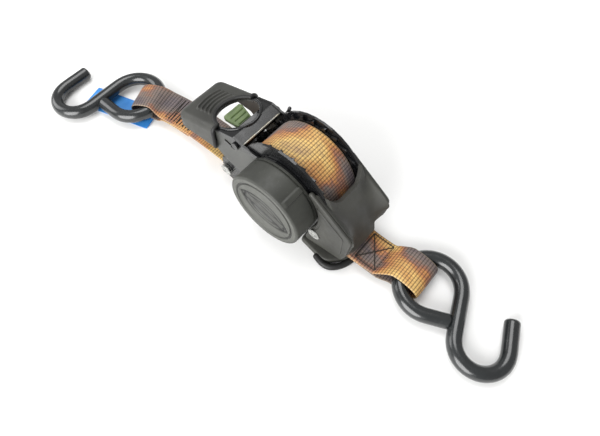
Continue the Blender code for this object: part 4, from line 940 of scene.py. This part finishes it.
def buildHandleTrim():
    # the sheared edge of the pressing is a bright bead along its width; the ear is a bent pin on the far arm
    s = handleTrim
    line = [(s.edgeX, side * s.edgeHalf, s.edgeZ) for side in (-1, 1)]
    addTube("bareSteelEdge", resample(line, s.edgeSteps), s.edge, upZ, "handle", "bright_steel", bareEdge)
    path = curveThrough([(x, s.earY, z) for x, z in s.earRoute], s.earSteps)
    addTube("farEar", path, s.ear, acrossY, "handle", "black_steel", blackSteel)


buildTab()
buildHandleTrim()
print("stage: pull tab and handle trim")

# corners are (x, z, fillet)
lever = Settings(
    wingIn=0.0166, wingOut=0.0196, edge=0.0013, frontR=0.0273, frontArc=np.radians((-33, 44)),
    crest=(0.021, 0.061, 0.002), shoulder=(0.052, 0.0385, 0.005),
    nearRear=[(0.0495, 0.017, 0.002), (0.047, 0.01, 0.002)], farRear=[(0.0503, 0.0205, 0.0025),
    (0.0455, 0.0175, 0.0012), (0.0445, 0.01, 0.002)], toe=(0.0175, 0.0052, 0.002),
    instep=(0.02, 0.014, 0.002), frontSteps=24, outlineSteps=180, panelR=0.0297,
    panelArc=np.radians((-27, 26)), panelRise=0.0005, panelSunk=0.001,
    panelEdge=0.0005, panelFront=20, panelSteps=160, panel=[(0.047, 0.0374, 0.004),
    (0.0464, 0.019, 0.002), (0.044, 0.0128, 0.002), (0.0232, 0.0098, 0.0015), (0.0243, 0.015, 0.001)])

channel = Settings(
    centreLine=[(0.0338, 0.0522), (0.0376, 0.0445), (0.0438, 0.0318), (0.0478, 0.0215), (0.05, 0.0155)],
    topLine=[(0.0232, 0.058), (0.033, 0.051), (0.05, 0.038), (0.0505, 0.03), (0.0478, 0.0165)],
    thick=0.003, intoWing=0.0008, flatHalf=0.005, flare=2.4, clearR=0.0354, clearEdge=(0.015, 0.0166),
    notch=(0.0088, 0.0102), notchCut=0.16, aimBelow=0.01, lineSteps=60,
    acrossSteps=61)


def wingOutline(rear):
    # the concave front round the housing, the sloping top, and the given rear corners down to the toe
    s = lever
    front = arcPoints(axleXZ, s.frontR, *s.frontArc, s.frontSteps)
    corners = [(*front[-1], 0), s.crest, s.shoulder, *rear, s.toe, s.instep, (*front[0], 0)]
    return evenOutline(np.vstack([front[1:-1], filletOutline(corners)]), s.outlineSteps)


def panelOutline():
    # an arc beside the wing's front, then the panel's own corners
    s = lever
    front = arcPoints(axleXZ, s.panelR, *s.panelArc, s.panelFront)
    rest = filletOutline([(*front[-1], 0), *s.panel, (*front[0], 0)])[1:-1]
    return evenOutline(np.vstack([front, rest]), s.panelSteps)


def channelMesh():
    # each lengthwise line runs from the drum's side to the rear, and with its distance from the middle it
    # passes from the low centre line to the wings' top line, so the sides rise in smooth fillets
    s, wing = channel, lever.wingIn
    centre, top = (curveThrough(s[key], s.lineSteps)[0] for key in ("centreLine", "topLine"))
    y = np.linspace(-wing - s.intoWing, wing + s.intoWing, s.acrossSteps)
    w = (np.clip((np.abs(y) - s.flatHalf) / (wing - s.flatHalf), 0, 1) ** s.flare)[:, None]
    flat = centre[:, None] * (1 - w) + top[:, None] * w
    # inside the wings the lines are kept clear of the wheels' teeth
    fromAxle = flat - axleXZ
    radius = np.linalg.norm(fromAxle, axis=-1)
    clear = s.clearR * (1 - easeStep(np.abs(y), *s.clearEdge))
    flat = axleXZ + fromAxle * (np.maximum(radius, clear) / radius)[..., None]
    # beyond the notch's edge the lines stop short, which leaves a gap beside the strap at the far rear
    row = np.arange(len(flat))[:, None] * (1 - s.notchCut * easeStep(y, *s.notch))
    above = np.minimum(row.astype(int), len(flat) - 2)
    part, column = (row - above)[..., None], np.arange(len(y))
    flat = flat[above, column] * (1 - part) + flat[above + 1, column] * part
    # half the wall to each side
    ahead = unit(np.gradient(flat, axis=0))
    inward = np.stack([ahead[..., 1], -ahead[..., 0]], axis=-1) * (s.thick / 2)
    toAxle = axleXZ - [0, s.aimBelow] - flat
    inward *= np.sign(np.sum(inward * toAxle, axis=-1, keepdims=True))
    flat = np.concatenate([flat - inward, (flat + inward)[::-1]], axis=0)
    grid = np.stack([flat[..., 0], np.broadcast_to(y, flat.shape[:2]), flat[..., 1]], axis=-1)
    return meshFromGrid("leverChannel", grid, wrapU=True, wrapV=False, capU=False, capV=True)


def buildLever():
    # two rounded wings, each with a raised panel, and the channel between them
    s = lever
    panelIn, panelOut = s.wingOut - s.panelSunk, s.wingOut + s.panelRise
    shells = []
    for sign, rear in ((-1, s.nearRear), (1, s.farRear)):
        for outline, low, high, edge in ((wingOutline(rear), s.wingIn, s.wingOut, s.edge),
                                         (panelOutline(), panelIn, panelOut, s.panelEdge)):
            shells.append(roundedPlate("wing", outline, *sorted((sign * low, sign * high)), edge))
    mesh = joinMeshes("releaseLever", *shells, channelMesh())
    addPiece(mesh, "release_lever", "moulded_rubber", leverRubber, ["release_lever"])


rivet = Settings(
    place=(0.02599, 0.02039), faceY=-0.0203, radius=0.0023, dome=0.0005, deep=0.002, pole=0.02,
    domeSteps=10, aroundSteps=48)


def buildRivet():
    # a shallow dome turned about the near rivet's line
    s = rivet
    share = np.linspace(s.pole, 1, s.domeSteps)
    r = np.concatenate([share, [1, s.pole]])[:, None] * s.radius
    y = np.concatenate([s.faceY - s.dome * (1 - share**2), [s.faceY + s.deep] * 2])
    turn = fullTurn(s.aroundSteps)
    grid = np.stack([s.place[0] + r * np.cos(turn), np.repeat(y[:, None], len(turn), axis=1),
                     s.place[1] + r * np.sin(turn)], axis=-1)
    addPiece(meshFromGrid("rivetDome", grid), "frame", "bright_steel", zinc)


# corners are (x, half width, fillet), from front to rear
foot = Settings(
    corners=[(0.016, 0.0212, 0.0025), (0.0385, 0.0245, 0.009), (0.0495, 0.012, 0.008)], high=0.0045,
    edge=0.0017, outlineSteps=160, rim=(0.0022, 20, 0.002), rimZ=0.0023, rimSteps=90,
    rimRoute=[(0.03, -0.0235), (0.0375, -0.0252), (0.043, -0.024), (0.0475, -0.019), (0.05, -0.012),
    (0.0503, -0.005)])


def buildFoot():
    # a lying plate with rounded corners, and a dark bead round its near rear corner
    s = foot
    corners = [(x, -y, fillet) for x, y, fillet in s.corners] + s.corners[::-1]
    outline = evenOutline(filletOutline(corners), s.outlineSteps)
    plate = roundedPlate("rearFoot", outline, 0.0, s.high, s.edge, lying=True)
    addPiece(plate, "frame", "moulded_rubber", leverRubber, ["rear_foot"])
    path = curveThrough([(x, y, s.rimZ) for x, y in s.rimRoute], s.rimSteps)
    addTube("footRim", path, s.rim, upZ, "frame", "moulded_rubber", lipRubber)


buildLever()
buildRivet()
buildFoot()
print("stage: release lever, rivet and foot")

ground = Settings(half=6, z=-0.0002, colour="#f6f6f5", rough=0.9, surface={"Specular IOR Level": 0.1})
paleFloor = Nodes("paleFloor").finish(shade(ground.colour), ground.rough, None, ground.surface)
floorMesh = bpy.data.meshes.new("floor")
floorCorners = [(x * ground.half, y * ground.half, ground.z)
                for x, y in ((-1, -1), (1, -1), (1, 1), (-1, 1))]
floorMesh.from_pydata(floorCorners, [], [(0, 1, 2, 3)])
floorMesh.materials.append(paleFloor)
floor = bpy.data.objects.new("floor", floorMesh)
scene.collection.objects.link(floor)

# lamps are (name, place, size in metres, power in watts)
light = Settings(
    sky=0.5, aim=(0, 0, 0.02), lamps=[("keyLamp", (0.05, -1.15, 0.5), 1.2, 26.0),
    ("topLamp", (-0.35, 0.3, 1.2), 0.9, 9.0), ("sideLamp", (-1.00, -0.4, 0.55), 0.7, 4.0)])


def addAimed(name, data, place, aim):
    # a lamp or camera at a place, turned to face a point
    thing = bpy.data.objects.new(name, data)
    thing.location = place
    thing.rotation_euler = (Vector(aim) - Vector(place)).to_track_quat("-Z", "Y").to_euler()
    scene.collection.objects.link(thing)
    return thing


for name, place, size, power in light.lamps:
    lamp = bpy.data.lights.new(name, "AREA")
    lamp.shape = "DISK"
    lamp.size = size
    lamp.energy = power
    addAimed(name, lamp, place, light.aim)

world = bpy.data.worlds.new("studio")
scene.world = world
world.use_nodes = True
background = world.node_tree.nodes["Background"].inputs
background["Color"].default_value = (1, 1, 1, 1)
background["Strength"].default_value = light.sky

view = Settings(
    place=(0.11204, -0.13365, 0.29475), target=(0.00479, -0.00861, 0.0), focalPixels=503.5, imageWidth=600,
    sensor=36, clipStart=0.005)
cameraData = bpy.data.cameras.new("photoCamera")
cameraData.sensor_fit = "HORIZONTAL"
cameraData.sensor_width = view.sensor
cameraData.lens = view.focalPixels / view.imageWidth * view.sensor
cameraData.clip_start = view.clipStart
scene.camera = addAimed("photoCamera", cameraData, view.place, view.target)
print("stage: floor, light and camera")

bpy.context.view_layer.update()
